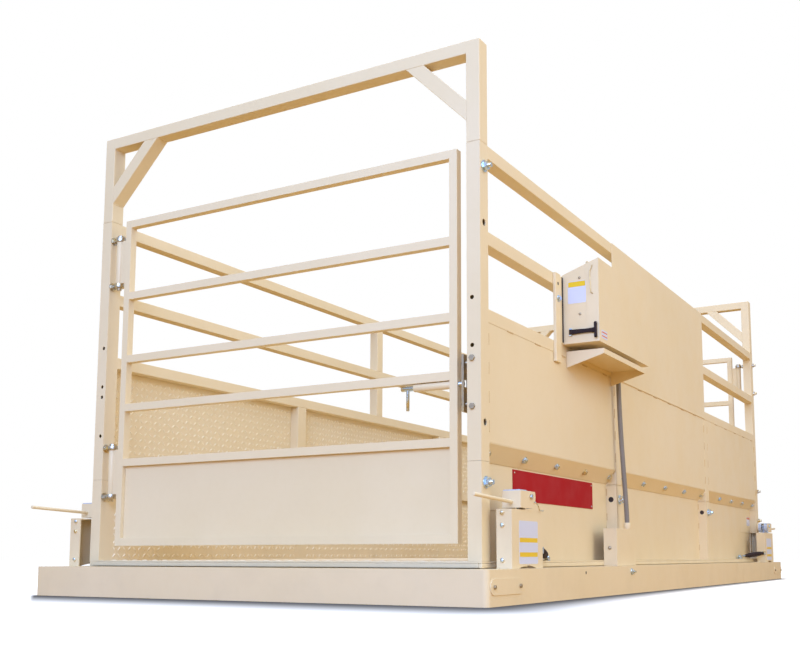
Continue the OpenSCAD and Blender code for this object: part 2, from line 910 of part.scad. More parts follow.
// Eye bolts, flush outside at the front and with a tail for a nut at the rear
module eye_bolts() {
    color(zinc) for (end = [0, 1], pair = hinge_pairs, z = pair) {
        tail = end * shank_tail;
        rotate(180 * end) difference() {
            union() {
                rod_z([hinge_x, gate_mid_y, z - eye_h / 2], eye_d, eye_h);
                rod_x([-out_x - tail, gate_mid_y, z], shank_d, hinge_x + out_x + tail);
            }
            rod_z([hinge_x, gate_mid_y, z - eye_h], hinge_pin_d + 2 * fit, 2 * eye_h);
        }
    }
}

module hinge_nuts() {
    color(zinc) for (pair = hinge_pairs, z = pair) {
        rotate(180) nut_x([-out_x - nut_h - seat, gate_mid_y, z]);
        both_ends() {
            washer_x([seat - in_x, gate_mid_y, z]);
            nut_x([seat - in_x + washer_t, gate_mid_y, z]);
        }
    }
}

module hinge_pins() {
    color(zinc) both_ends() for (pair = hinge_pairs) {
        top = pair[0] + eye_h / 2 + seat;
        low = pair[1] - eye_h / 2 - pin_tail;
        rod_z([hinge_x, gate_mid_y, low], hinge_pin_d, top - low);
        rod_z([hinge_x, gate_mid_y, top], pin_head_d, pin_head_h);
    }
}

module bolt_keepers() {
    color(zinc) both_ends() difference() {
        union() {
            span([keeper_x, gate_mid_y - keeper_w / 2, bolt_z - keeper_h / 2],
                [keeper_x + keeper_t, gate_mid_y + keeper_w / 2, bolt_z + keeper_h / 2]);
            for (z = keeper_stud_z)
                rod_x([keeper_x - keeper_proud, gate_mid_y, z], keeper_stud_d,
                    keeper_proud + keeper_t + keeper_stand + keeper_stud_l);
        }
        span([keeper_x - over, gate_mid_y - bolt_d / 2 - keeper_play, bolt_z - bolt_d / 2 - keeper_play],
            [keeper_x + keeper_t + over, gate_mid_y + bolt_d / 2 + keeper_play,
                bolt_z + bolt_d / 2 + keeper_play]);
    }
}

module keeper_screws() {
    color(zinc) both_ends() for (z = strike_used) {
        rod_y([strike_x, front_y - seat, z], strike_d, tube_t + seat);
        hex_y([strike_x, front_y - seat - screw_head_h, z], screw_head_d, screw_head_h);
    }
}

// Lock stands, drawn at the front right corner with the stand's front face at y0

module at_stands() {
    both_ends() {
        translate([0, stand_inset_latch - half_l, 0]) children();
        mirror([1, 0, 0]) translate([0, stand_inset_hinge - half_l, 0]) children();
    }
}

module stand() {
    x1 = stand_x0 + stand_w;
    mid_x = stand_x0 + stand_w / 2;
    arch_r = (stand_arch_w * stand_arch_w / 4 + stand_arch_h * stand_arch_h) / (2 * stand_arch_h);
    difference() {
        span([stand_x0, 0, base_h + seat], [x1, stand_l, stand_top]);
        span([stand_x0 - over, stand_t, base_h - over], [x1 - stand_t, stand_l - stand_t,
            stand_top - stand_t]);
        rod_x([x1 - stand_t - over, stand_l / 2, base_h + stand_arch_h - arch_r], 2 * arch_r,
            stand_t + 2 * over);
    }
    difference() {
        union() {
            span([mid_x - lug_t / 2, pivot_back - lug_r, stand_top], [mid_x + lug_t / 2, pivot_back + lug_r,
                pivot_z]);
            rod_x([mid_x - lug_t / 2, pivot_back, pivot_z], 2 * lug_r, lug_t);
        }
        rod_x([mid_x - lug_t, pivot_back, pivot_z], pivot_d + 2 * fit, 2 * lug_t);
    }
    for (z = stand_bolt_z)
        hex_y([stand_x0 + stand_w * stand_bolt_share, -bolt_head_h, base_h + z], bolt_head_d, bolt_head_h);
}

module lock_stands() {
    color(coat) at_stands() stand();
}

module lock_pivots() {
    mid_x = stand_x0 + stand_w / 2;
    color(zinc) at_stands() {
        rod_x([mid_x - head_w / 2 - run, pivot_back, pivot_z], pivot_d, head_w + 2 * run);
        rod_x([mid_x + head_w / 2 + run, pivot_back, pivot_z], bolt_head_d + pivot_d / 2, bolt_head_h);
        rod_x([mid_x - head_w / 2 - run - bolt_head_h, pivot_back, pivot_z], bolt_head_d + pivot_d / 2,
            bolt_head_h);
    }
}

// Channel-shaped head on the pivot with its rod, pointing to -Y
module lever() {
    mid_x = stand_x0 + stand_w / 2;
    x0 = mid_x - head_w / 2;
    x1 = mid_x + head_w / 2;
    c = [pivot_back, pivot_z];
    cheek = concat([c + [-head_front, head_up], c + [-head_front, -head_r]],
        arc(c, head_r, -90, asin(head_up / head_r), 2 * corner_steps));
    difference() {
        union() {
            profile_x(cheek, x0, x0 + head_t);
            profile_x(cheek, x1 - head_t, x1);
            span([x0, pivot_back - head_front, pivot_z + head_up - head_t], [x1, pivot_back - head_roof_gap,
                pivot_z + head_up]);
            span([x0, pivot_back - head_front, pivot_z - head_r], [x1, pivot_back - head_front + head_t,
                pivot_z + head_up]);
        }
        rod_x([x0 - over, pivot_back, pivot_z], pivot_d + 2 * fit, head_w + 2 * over);
    }
    translate([mid_x, pivot_back - head_front - weld, pivot_z - lever_drop]) rotate([90 - lever_tilt, 0, 0])
        cylinder(d = lever_d, h = lever_l);
}

module lock_lever_front_right() {
    color(coat) translate([0, stand_inset_latch - half_l, 0]) lever();
}

module lock_lever_front_left() {
    color(coat) mirror([1, 0, 0]) translate([0, stand_inset_hinge - half_l, 0]) lever();
}

module lock_lever_rear_right() {
    color(coat) rotate(180) mirror([1, 0, 0]) translate([0, stand_inset_hinge - half_l, 0]) lever();
}

module lock_lever_rear_left() {
    color(coat) rotate(180) translate([0, stand_inset_latch - half_l, 0]) lever();
}

// Check link behind each stand, from an eye on the deck out to a tab on the stand's rear face

link_way = link_high - link_low;
link_run = sqrt(link_way[0] * link_way[0] + link_way[1] * link_way[1]);
link_len = norm(link_way);
link_plan = atan2(link_way[1], link_way[0]);
link_angle = atan2(link_way[2], link_run);

// Frame of a check link with its eye at the origin, its rod along X in plan
module at_links() {
    at_stands() translate(link_low) rotate([0, 0, link_plan]) children();
}

module check_rods() {
    lug_y = link_eye_h / 2 + link_lug_t / 2 + run;
    foot = deck_top + seat - link_low[2];
    color(zinc) {
        at_links() {
            difference() {
                union() {
                    rod_y([0, -link_eye_h / 2, 0], link_eye_d, link_eye_h);
                    rotate([0, 90 - link_angle, 0]) cylinder(d = link_d, h = link_len);
                }
                rod_y([0, -link_eye_h, 0], link_d + 2 * fit, 2 * link_eye_h);
            }
            rod_y([0, -link_eye_h, 0], link_d, 2 * link_eye_h);
            for (side = [-1, 1])
                span([-link_d, side * lug_y - link_lug_t / 2, foot], [link_d, side * lug_y + link_lug_t / 2,
                    0]);
        }
        at_stands() span([link_high[0] - link_tab_w / 2, stand_l + seat, link_high[2] - link_tab_w / 2],
            [link_high[0] + link_tab_w / 2, stand_l + seat + link_tab_t, link_high[2] + link_tab_w / 2]);
    }
}

function sleeve_r(share) = sleeve_end_share
    + (1 - sleeve_end_share) * min(1, min(share, 1 - share) / sleeve_taper_share);

// Ribbed rubber sleeve on each check link, thinner at its ends
module check_sleeves() {
    r0 = link_d / 2 + fit;
    r1 = sleeve_d / 2;
    n = 2 * sleeve_ribs;
    z0 = link_len - sleeve_back - sleeve_l;
    edge = [for (k = [0 : n]) [r1 * sleeve_r(k / n) - (k % 2 == 0 ? rib_depth : 0), z0 + k * sleeve_l / n]];
    color(black) at_links() rotate([0, 90 - link_angle, 0]) rotate_extrude($fn = sleeve_sides)
        polygon(concat([[r0, z0]], edge, [[r0, z0 + sleeve_l]]));
}

// Cabinet on the right side

// Upright bar before the cabinet, with a thin strip up to the case
module carrier_bars() {
    x0 = out_x + seat;
    x1 = x0 + carrier_t;
    near_y = cab_y0 - carrier_gap - carrier_w;
    color(coat) {
        span([x0, near_y, shield_bottom - carrier_drop], [x1, near_y + carrier_w, rail_mid_top]);
        span([x0, near_y + carrier_w / 2, cab_bottom], [x0 + carrier_strip_t, cab_y0 - seat, rail_mid_top]);
    }
}

// Sheet shell with a roof that rises outward, open towards one side
module shell(x0, x1, open_out) {
    a = open_out ? x0 + cab_t : x0 - over;
    b = open_out ? x1 + over : x1 - cab_t;
    difference() {
        profile_y([[x0, cab_bottom], [x1, cab_bottom], [x1, roof_z(x1)], [x0, roof_z(x0)]], cab_y0, cab_y1);
        profile_y([[a, cab_bottom + cab_t], [b, cab_bottom + cab_t], [b, roof_z(b) - cab_t], [a,
            roof_z(a) - cab_t]],
            cab_y0 + cab_t, cab_y1 - cab_t);
    }
}

knuckle_x = case_x1 + run / 2;
knuckle_z = roof_z(case_x1) + knuckle_d / 2 + 2 * run;
knuckle_l = (cab_l - 2 * knuckle_d) / knuckle_n;
prop_top_z = roof_z(prop_x) - prop_drop;

// Every second hinge knuckle with its leaf on the roof
module knuckles(first, x0, x1) {
    for (k = [first : 2 : knuckle_n - 1]) {
        y = cab_y0 + knuckle_d + k * knuckle_l;
        difference() {
            union() {
                rod_y([knuckle_x, y + run / 2, knuckle_z], knuckle_d, knuckle_l - run);
                profile_y([[x0, roof_z(x0) - cab_t / 2], [x1, roof_z(x1) - cab_t / 2], [x1, knuckle_z], [x0,
                    knuckle_z]],
                    y + run / 2, y + knuckle_l - run / 2);
            }
            rod_y([knuckle_x, y - over, knuckle_z], knuckle_pin_d + 2 * fit, knuckle_l + 2 * over);
        }
    }
}

module cabinet_case() {
    color(coat) {
        shell(case_x0, case_x1, true);
        knuckles(0, case_x1 - knuckle_d / 2, case_x1 - run);
    }
}

module cabinet_door() {
    color(coat) {
        difference() {
            shell(door_x0, door_x1, false);
            rod_y([prop_x, cab_y0 - over, prop_top_z], prop_d + 2 * fit, cab_t + 2 * over);
        }
        knuckles(1, door_x0 + run, door_x0 + knuckle_d / 2);
        span([tee_x - tee_d / 2, cab_y0 - catch_t, latch_z - strap_h / 2], [tee_x, cab_y0 + cab_t / 2,
            latch_z + strap_h / 2]);
    }
}

module cabinet_hinge_pin() {
    color(zinc) rod_y([knuckle_x, cab_y0 + knuckle_d, knuckle_z], knuckle_pin_d, knuckle_n * knuckle_l);
}

strap_y = cab_y0 - catch_t - catch_gap - strap_t;
anchor_y = strap_y + strap_t / 2;

// Rubber strap with a cross handle, hung on the anchor pin
module draw_latch() {
    color(black) difference() {
        union() {
            rod_z([latch_x, anchor_y, latch_z - strap_h / 2], anchor_pin_d + 2 * anchor_wall, strap_h);
            span([latch_x, strap_y, latch_z - strap_h / 2], [tee_x, strap_y + strap_t,
                latch_z + strap_h / 2]);
            rod_z([tee_x, strap_y + strap_t - tee_d / 2, latch_z - tee_l / 2], tee_d, tee_l);
        }
        rod_z([latch_x, anchor_y, latch_z - strap_h], anchor_pin_d + 2 * fit, 2 * strap_h);
    }
}

module latch_anchor() {
    ear_w = anchor_pin_d + anchor_wall;
    color(zinc) {
        for (side = [-1, 1]) {
            z = latch_z + side * (strap_h / 2 + anchor_ear_t / 2 + run);
            span([latch_x - ear_w / 2, anchor_y - ear_w / 2, z - anchor_ear_t / 2],
                [latch_x + ear_w / 2, cab_y0 - seat, z + anchor_ear_t / 2]);
        }
        rod_z([latch_x, anchor_y, latch_z - strap_h / 2 - anchor_ear_t / 2 - run], anchor_pin_d,
            strap_h + anchor_ear_t + 2 * run);
    }
}

// Wire stay that props the raised door
module prop_rod() {
    y = cab_y0 - prop_d / 2 - run;
    color(zinc) {
        rod_z([prop_x, y, prop_top_z - prop_l], prop_d, prop_l);
        rod_y([prop_x, y - prop_d / 2, prop_top_z], prop_d, prop_stub + prop_d / 2);
    }
}

module cabinet_shelf() {
    x0 = out_x + seat;
    x1 = door_x1 + cab_t;
    low = [x0, shelf_top - shelf_deep];
    color(coat) {
        span([x0, shelf_y0, shelf_top - cab_t], [x1, shelf_y1, shelf_top]);
        span([x0, shelf_y0, shield_bottom + seat], [x0 + cab_t, shelf_y1, shelf_top]);
        span([x1 - cab_t, shelf_y0, shelf_top - shelf_lip], [x1, shelf_y1, shelf_top]);
        for (y = [shelf_y0, shelf_y1 - cab_t])
            profile_y([low, [x1, shelf_top - shelf_lip], [x1, shelf_top], [low[0], shelf_top]], y,
                y + cab_t);
    }
}

module weight_indicator() {
    x = case_x0 + cab_t + seat;
    y = (cab_y0 + cab_y1 - indicator_size[1]) / 2;
    z = cab_bottom + indicator_bottom;
    color(grey) span([x, y, z], [x, y, z] + indicator_size);
}

// Conduit from the cabinet's floor to the wiring cover, swept along a smooth curve

conduit_top = cab_bottom - gland_seat;
conduit_low = base_h + cover_box_h + gland_seat;
conduit_fall = conduit_top - conduit_low;
conduit_route = [[conduit_x, conduit_top_y, conduit_top],
    [conduit_x, conduit_top_y, conduit_top - conduit_fall * conduit_top_share],
    [conduit_low_x, conduit_low_y, conduit_low + conduit_fall * conduit_low_share],
    [conduit_low_x, conduit_low_y, conduit_low]];

function bend(p, t) = pow(1 - t, 3) * p[0] + 3 * t * pow(1 - t,
    2) * p[1] + 3 * t * t * (1 - t) * p[2] + t * t * t * p[3];
function ring(c, r, n) = [for (k = [0 : n - 1]) c + r * [cos(360 * k / n), sin(360 * k / n), 0]];

module conduit() {
    n = conduit_sides;
    points = [for (k = [0 : conduit_rings]) each ring(bend(conduit_route, k / conduit_rings), conduit_d / 2,
        n)];
    walls = [for (k = [0 : conduit_rings - 1], j = [0 : n - 1], half = [0, 1]) half == 0
        ? [k * n + j, k * n + (j + 1) % n, (k + 1) * n + j]
        : [k * n + (j + 1) % n, (k + 1) * n + (j + 1) % n, (k + 1) * n + j]];
    top = [for (j = [1 : n - 2]) [0, j + 1, j]];
    low = [for (j = [1 : n - 2]) conduit_rings * n * [1, 1, 1] + [0, j, j + 1]];
    color(grey) polyhedron(points, concat(walls, top, low));
}

module conduit_glands() {
    color(zinc) {
        gland([conduit_x, conduit_top_y, cab_bottom - seat], -1);
        gland([conduit_low_x, conduit_low_y, base_h + cover_box_h + seat], 1);
    }
}

// Round gland on a wall, with a socket that takes the conduit's end
module gland(p, way) {
    socket_d = conduit_d + 2 * run;
    floor_h = gland_seat - 2 * run;
    z0 = way > 0 ? p[2] : p[2] - gland_h;
    difference() {
        rod_z([p[0], p[1], z0], gland_d, gland_h);
        rod_z([p[0], p[1], way > 0 ? p[2] + floor_h : p[2] - gland_h - over], socket_d,
            gland_h - floor_h + over);
    }
}

module wiring_cover() {
    lo = [cover_box_x[0], cover_box_y[0], base_h + seat];
    hi = [cover_box_x[1], cover_box_y[1], base_h + cover_box_h];
    color(coat) difference() {
        span(lo, hi);
        span(lo + [-over, cab_t, -over], hi - [cab_t, cab_t, cab_t]);
    }
}

// Bare plate on the right lower sheet
plate_lead_share = 0.2212;
plate_end_share = 0.141;
plate_y = [bays[0][0] + (bays[0][1] - bays[0][0]) * plate_lead_share,
    bays[0][1] - (bays[0][1] - bays[0][0]) * plate_end_share];
plate_h = 118;
plate_drop = 7;
plate_t = 2;

module name_plate() {
    top = skirt_low - sheet_t - plate_drop;
    color(red) span([sheet_x + seat, plate_y[0], top - plate_h], [sheet_x + seat + plate_t, plate_y[1],
        top]);
}

base_frame();
base_beams();
base_covers();
cover_screws();
load_cells();
cell_spacers();
load_buttons();
deck_joists();
deck_lip();
deck_plate();
lower_posts();
hinge_posts();
latch_posts();
post_spigots();
left_lower_frame();
right_lower_frame();
left_side_frame();
right_side_frame();
left_lower_sheets();
right_lower_sheets();
left_upper_sheets();
right_upper_sheets();
side_skirts();
skirt_bolts();
shield_sheet();
front_arch();
rear_arch();
splice_bolts();
eye_bolts();
hinge_nuts();
hinge_pins();
bolt_keepers();
keeper_screws();
front_gate_frame();
front_gate_sheet();
front_latch_bolt();
rear_gate_frame();
rear_gate_sheet();
rear_latch_bolt();
lock_stands();
lock_pivots();
lock_lever_front_right();
lock_lever_front_left();
lock_lever_rear_right();
lock_lever_rear_left();
check_rods();
check_sleeves();
carrier_bars();
cabinet_case();
cabinet_door();
cabinet_hinge_pin();
draw_latch();
latch_anchor();
prop_rod();
cabinet_shelf();
weight_indicator();
conduit();
conduit_glands();
wiring_cover();
name_plate();
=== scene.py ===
"""Looks of a livestock weighing crate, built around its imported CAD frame.

Every size is in metres in the row frame: +Z up, +Y from the front gate to the rear gate, +X to the cabinet side.
"""

from __future__ import annotations

import json
import logging
import math
from collections.abc import Iterable, Mapping, Sequence
from dataclasses import dataclass, replace
from enum import Enum
from functools import cache
from itertools import product
from typing import Union

import bpy
import numpy as np
from mathutils import Matrix, Vector

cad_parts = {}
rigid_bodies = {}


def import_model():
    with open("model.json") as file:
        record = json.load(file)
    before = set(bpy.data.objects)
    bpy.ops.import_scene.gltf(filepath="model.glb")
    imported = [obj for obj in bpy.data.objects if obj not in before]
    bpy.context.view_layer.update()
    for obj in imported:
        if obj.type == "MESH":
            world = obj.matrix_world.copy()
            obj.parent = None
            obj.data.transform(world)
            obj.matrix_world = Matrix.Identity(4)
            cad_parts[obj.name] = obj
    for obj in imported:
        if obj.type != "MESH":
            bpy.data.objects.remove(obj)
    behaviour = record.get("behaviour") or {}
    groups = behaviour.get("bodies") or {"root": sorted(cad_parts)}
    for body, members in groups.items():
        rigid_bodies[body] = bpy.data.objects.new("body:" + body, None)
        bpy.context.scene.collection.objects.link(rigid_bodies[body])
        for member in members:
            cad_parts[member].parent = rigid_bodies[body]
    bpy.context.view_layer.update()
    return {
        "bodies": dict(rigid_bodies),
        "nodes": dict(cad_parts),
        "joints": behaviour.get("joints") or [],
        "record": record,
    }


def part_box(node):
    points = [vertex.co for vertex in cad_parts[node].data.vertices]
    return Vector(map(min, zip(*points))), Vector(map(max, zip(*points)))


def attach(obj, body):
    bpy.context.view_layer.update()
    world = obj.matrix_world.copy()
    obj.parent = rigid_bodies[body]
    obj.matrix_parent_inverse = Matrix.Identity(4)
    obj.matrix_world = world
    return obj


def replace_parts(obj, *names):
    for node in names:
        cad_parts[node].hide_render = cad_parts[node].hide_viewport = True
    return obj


log = logging.getLogger("weighing_crate")

Colour = tuple[float, float, float]
Pair = tuple[float, float]
Pairs = tuple[Pair, ...]
Row = tuple[float, ...]
Point = Sequence[float]
Points = tuple[Point, ...]
Material = bpy.types.Material
NodeTree = bpy.types.NodeTree
Node = bpy.types.Node
Socket = bpy.types.NodeSocket
Feed = Union[Socket, float, Colour]

IMAGE_SIZE = (800, 648)
ROOT = "crate"


class Slot(Enum):
    """Material slots of the record."""

    COAT = "coat"
    ZINC = "zinc"
    RUBBER = "rubber"
    CONDUIT = "conduit"
    INDICATOR = "indicator"
    PLATE = "plate"


class Axis(Enum):
    """Unit directions of the row frame."""

    X = (1.0, 0.0, 0.0)
    Y = (0.0, 1.0, 0.0)
    Z = (0.0, 0.0, 1.0)

    @property
    def vector(self) -> Vector:
        """Direction as a vector."""
        return Vector(self.value)


class Face(Enum):
    """Ways that a flat plate can look, as the directions of its width and of its height."""

    RIGHT = (Axis.Y.value, Axis.Z.value)
    FRONT = (Axis.X.value, Axis.Z.value)
    REAR = ((-1.0, 0.0, 0.0), Axis.Z.value)
    TOP = (Axis.X.value, Axis.Y.value)

    @property
    def normal(self) -> Vector:
        """Direction in which the plate looks."""
        return Vector(self.value[0]).cross(Vector(self.value[1]))


class End(Enum):
    """The two ends of the crate, as the turn that carries a front piece there."""

    FRONT = 0.0
    REAR = math.pi

    @property
    def turn(self) -> Matrix:
        """The turn as a matrix."""
        return Matrix.Rotation(self.value, 4, "Z")


class Corner(Enum):
    """The four lock stands: side of the crate, and Y of the stand's end face."""

    FRONT_RIGHT = (1.0, -2.2005)
    FRONT_LEFT = (-1.0, -2.2865)
    REAR_RIGHT = (1.0, 2.2865)
    REAR_LEFT = (-1.0, 2.2005)


# --------------------------------------------------------------------------- shader nodes


class NodeWork:
    """A node tree under construction, with short ways to add nodes and links."""

    def __init__(self, tree: NodeTree) -> None:
        """Work on a tree."""
        self.tree = tree

    def feed(self, target: Socket, value: Feed) -> None:
        """Link a socket to a target, or set the target's own value.

        Args:
            target: Socket that takes the value.
            value: A socket, a number, or a colour without its alpha.
        """
        if isinstance(value, Socket):
            self.tree.links.new(value, target)
        else:
            target.default_value = (*value, 1.0) if isinstance(value, tuple) else value

    def node(self, kind: str, inputs: Mapping[str | int, Feed] | None = None, **settings: object) -> Node:
        """Add a node.

        Args:
            kind: Type of the node without its ShaderNode prefix.
            inputs: What its sockets take, by name or number.
            settings: Attributes to set on it before that.

        Returns:
            The new node.
        """
        made = self.tree.nodes.new(f"ShaderNode{kind}")
        for key, value in settings.items():
            setattr(made, key, value)
        for key, value in (inputs or {}).items():
            self.feed(made.inputs[key], value)
        return made

    def noise(self, place: Socket, scale: float, detail: float) -> Socket:
        """Noise over a place, with its scale and number of octaves."""
        return self.node("TexNoise", {"Vector": place, "Scale": scale, "Detail": detail}).outputs["Fac"]

    def ramp(self, value: Socket, low: float, high: float, to_low: float = 0.0, to_high: float = 1.0) -> Socket:
        """Value mapped smoothly from one range to another."""
        ends = {"Value": value, "From Min": low, "From Max": high, "To Min": to_low, "To Max": to_high}
        return self.node("MapRange", ends, interpolation_type="SMOOTHSTEP").outputs["Result"]

    def math(self, operation: str, *terms: Socket | float) -> Socket:
        """Result of a Math node over sockets and numbers."""
        return self.node("Math", dict(enumerate(terms)), operation=operation).outputs[0]

    def mix(self, share: Socket, first: Socket, second: Socket) -> Socket:
        """Two colours mixed by the share of the second one."""
        return self.node("Mix", {"Factor": share, 6: first, 7: second}, data_type="RGBA").outputs[2]

    def split(self, lit: Socket, shown: Socket, target: Socket) -> None:
        """Send one shader to the camera's rays, the shown one, and another to all other rays."""
        ray = self.node("LightPath").outputs["Is Camera Ray"]
        self.feed(target, self.node("MixShader", {0: ray, 1: lit, 2: shown}).outputs[0])


class GroupWork(NodeWork):
    """A shader node group under construction."""

    def __init__(self, name: str, inputs: Mapping[str, str], outputs: Mapping[str, str]) -> None:
        """Start a group.

        Args:
            name: Name of the node group.
            inputs: Kind of each input, Float or Color.
            outputs: Kind of each output.
        """
        super().__init__(bpy.data.node_groups.new(name, "ShaderNodeTree"))
        self.inside = self.tree.nodes.new("NodeGroupInput")
        self.outside = self.tree.nodes.new("NodeGroupOutput")
        for way, kinds in (("INPUT", inputs), ("OUTPUT", outputs)):
            for key, kind in kinds.items():
                self.tree.interface.new_socket(key, in_out=way, socket_type=f"NodeSocket{kind}")

    def take(self, name: str) -> Socket:
        """One of the group's inputs."""
        return self.inside.outputs[name]

    def give(self, **values: Socket) -> None:
        """Link the group's outputs."""
        for name, value in values.items():
            self.feed(self.outside.inputs[name], value)


@cache
def sprayed_film() -> NodeTree:
    """Uneven sprayed film: soft colour drift, an orange-peel height and a roughness drift.

    Returns:
        The node group.
    """
    g = GroupWork("sprayed_film", {"Base": "Color", "Deep": "Color", "Spread": "Float", "Gloss": "Float"},
                  {"Colour": "Color", "Roughness": "Float", "Peel": "Float"})
    place = g.node("TexCoord").outputs["Object"]
    broad = g.ramp(g.noise(place, 1.7, 4.0), 0.3, 0.72)
    fine = g.ramp(g.noise(place, 38.0, 3.0), 0.35, 0.8, 0.0, 0.25)
    drift = g.math("MULTIPLY", g.math("ADD", broad, fine), g.take("Spread"))
    rough = g.ramp(g.noise(place, 9.0, 4.0), 0.3, 0.75, -0.07, 0.09)
    g.give(Colour=g.mix(drift, g.take("Base"), g.take("Deep")), Roughness=g.math("ADD", rough, g.take("Gloss")),
           Peel=g.noise(place, 420.0, 2.0))
    return g.tree


@cache
def yard_dust() -> NodeTree:
    """Yard dust that settles on faces that look up and near the ground.

    Returns:
        The node group.
    """
    g = GroupWork("yard_dust", {"Colour": "Color", "Dust": "Color", "Amount": "Float"},
                  {"Colour": "Color", "Mask": "Float"})
    place = g.node("NewGeometry").outputs
    height, facing = (g.node("SeparateXYZ", {0: place[key]}).outputs["Z"] for key in ("Position", "Normal"))
    low = g.ramp(height, 0.02, 0.34, 1.0, 0.12)
    up = g.ramp(facing, 0.2, 0.95, 0.25, 1.0)
    patches = g.ramp(g.noise(place["Position"], 6.5, 6.0), 0.42, 0.74)
    mask = g.math("MULTIPLY", g.math("MULTIPLY", g.math("MULTIPLY", low, up), patches), g.take("Amount"))
    g.give(Colour=g.mix(mask, g.take("Colour"), g.take("Dust")), Mask=mask)
    return g.tree


@cache
def passivated_plating() -> NodeTree:
    """Passivated plating: patches of two tints with a fine brushed roughness.

    Returns:
        The node group.
    """
    g = GroupWork("passivated_plating", {"Cool": "Color", "Warm": "Color", "Gloss": "Float"},
                  {"Colour": "Color", "Roughness": "Float", "Grain": "Float"})
    place = g.node("TexCoord").outputs["Object"]
    tint = g.ramp(g.noise(place, 26.0, 3.0), 0.45, 0.7)
    rough = g.ramp(g.noise(place, 90.0, 4.0), 0.3, 0.8, -0.06, 0.16)
    g.give(Colour=g.mix(tint, g.take("Cool"), g.take("Warm")), Roughness=g.math("ADD", rough, g.take("Gloss")),
           Grain=g.noise(place, 900.0, 2.0))
    return g.tree


class MaterialWork(NodeWork):
    """A node material under construction, with one Principled shader."""

    def __init__(self, name: str) -> None:
        """Start a material of that name."""
        self.material = bpy.data.materials.new(name)
        self.material.use_nodes = True
        super().__init__(self.material.node_tree)

    def group(self, tree: NodeTree, **inputs: Feed) -> Mapping[str, Socket]:
        """Outputs of a node group that is placed with its own values."""
        return self.node("Group", inputs, node_tree=tree).outputs

    def bump(self, height: Socket, strength: float, depth: float) -> Socket:
        """Normal from a height, with the depth of a full step in metres."""
        return self.node("Bump", {"Strength": strength, "Distance": depth, "Height": height}).outputs["Normal"]

    def shade(self, inputs: Mapping[str, Feed]) -> Material:
        """Feed the Principled shader.

        Args:
            inputs: What its sockets take.

        Returns:
            The finished material.
        """
        shader = self.tree.nodes["Principled BSDF"]
        for key, value in inputs.items():
            self.feed(shader.inputs[key], value)
        return self.material


@dataclass(frozen=True)
class Finish:
    """Base of the finishes: name of the material and the record slot that it stands for."""

    name: str
    slot: Slot


@dataclass(frozen=True)
class PowderCoat(Finish):
    """Sprayed and baked paint with a slight orange peel and dust where it settles."""

    base: Colour
    deep: Colour
    spread: float = 0.55
    gloss: float = 0.42
    dust_amount: float = 0.35
    shine: float = 0.45
    dust: Colour = (0.40, 0.33, 0.22)
    dust_dulls: bool = True
    peel: float = 0.10
    peel_depth: float = 0.0006
    clear_coat: float = 0.0

    def make(self) -> Material:
        """Build the material.

        Returns:
            The material.
        """
        work = MaterialWork(self.name)
        film = work.group(sprayed_film(), Base=self.base, Deep=self.deep, Spread=self.spread, Gloss=self.gloss)
        dust = work.group(yard_dust(), Colour=film["Colour"], Dust=self.dust, Amount=self.dust_amount)
        rough = film["Roughness"]
        if self.dust_dulls:
            rough = work.math("ADD", rough, dust["Mask"])
        return work.shade({"Base Color": dust["Colour"], "Specular IOR Level": self.shine, "Roughness": rough,
                           "Coat Weight": self.clear_coat,
                           "Normal": work.bump(film["Peel"], self.peel, self.peel_depth)})


@dataclass(frozen=True)
class ZincPlate(Finish):
    """Bright zinc plating with bluish and yellowish passivation."""

    cool: Colour
    warm: Colour
    gloss: float = 0.28
    grain: float = 0.12
    grain_depth: float = 0.0003

    def make(self) -> Material:
        """Build the material.

        Returns:
            The material.
        """
        work = MaterialWork(self.name)
        plate = work.group(passivated_plating(), Cool=self.cool, Warm=self.warm, Gloss=self.gloss)
        return work.shade({"Base Color": plate["Colour"], "Roughness": plate["Roughness"], "Metallic": 1.0,
                           "Normal": work.bump(plate["Grain"], self.grain, self.grain_depth)})


@dataclass(frozen=True)
class Moulded(PowderCoat):
    """Rubber, plastic or glass with a drifting tone, a matt grain and dust that leaves its gloss."""

    spread: float = 0.8
    gloss: float = 0.6
    dust_amount: float = 0.25
    shine: float = 0.5
    dust: Colour = (0.36, 0.31, 0.24)
    dust_dulls: bool = False
    peel: float = 0.25
    peel_depth: float = 0.0008


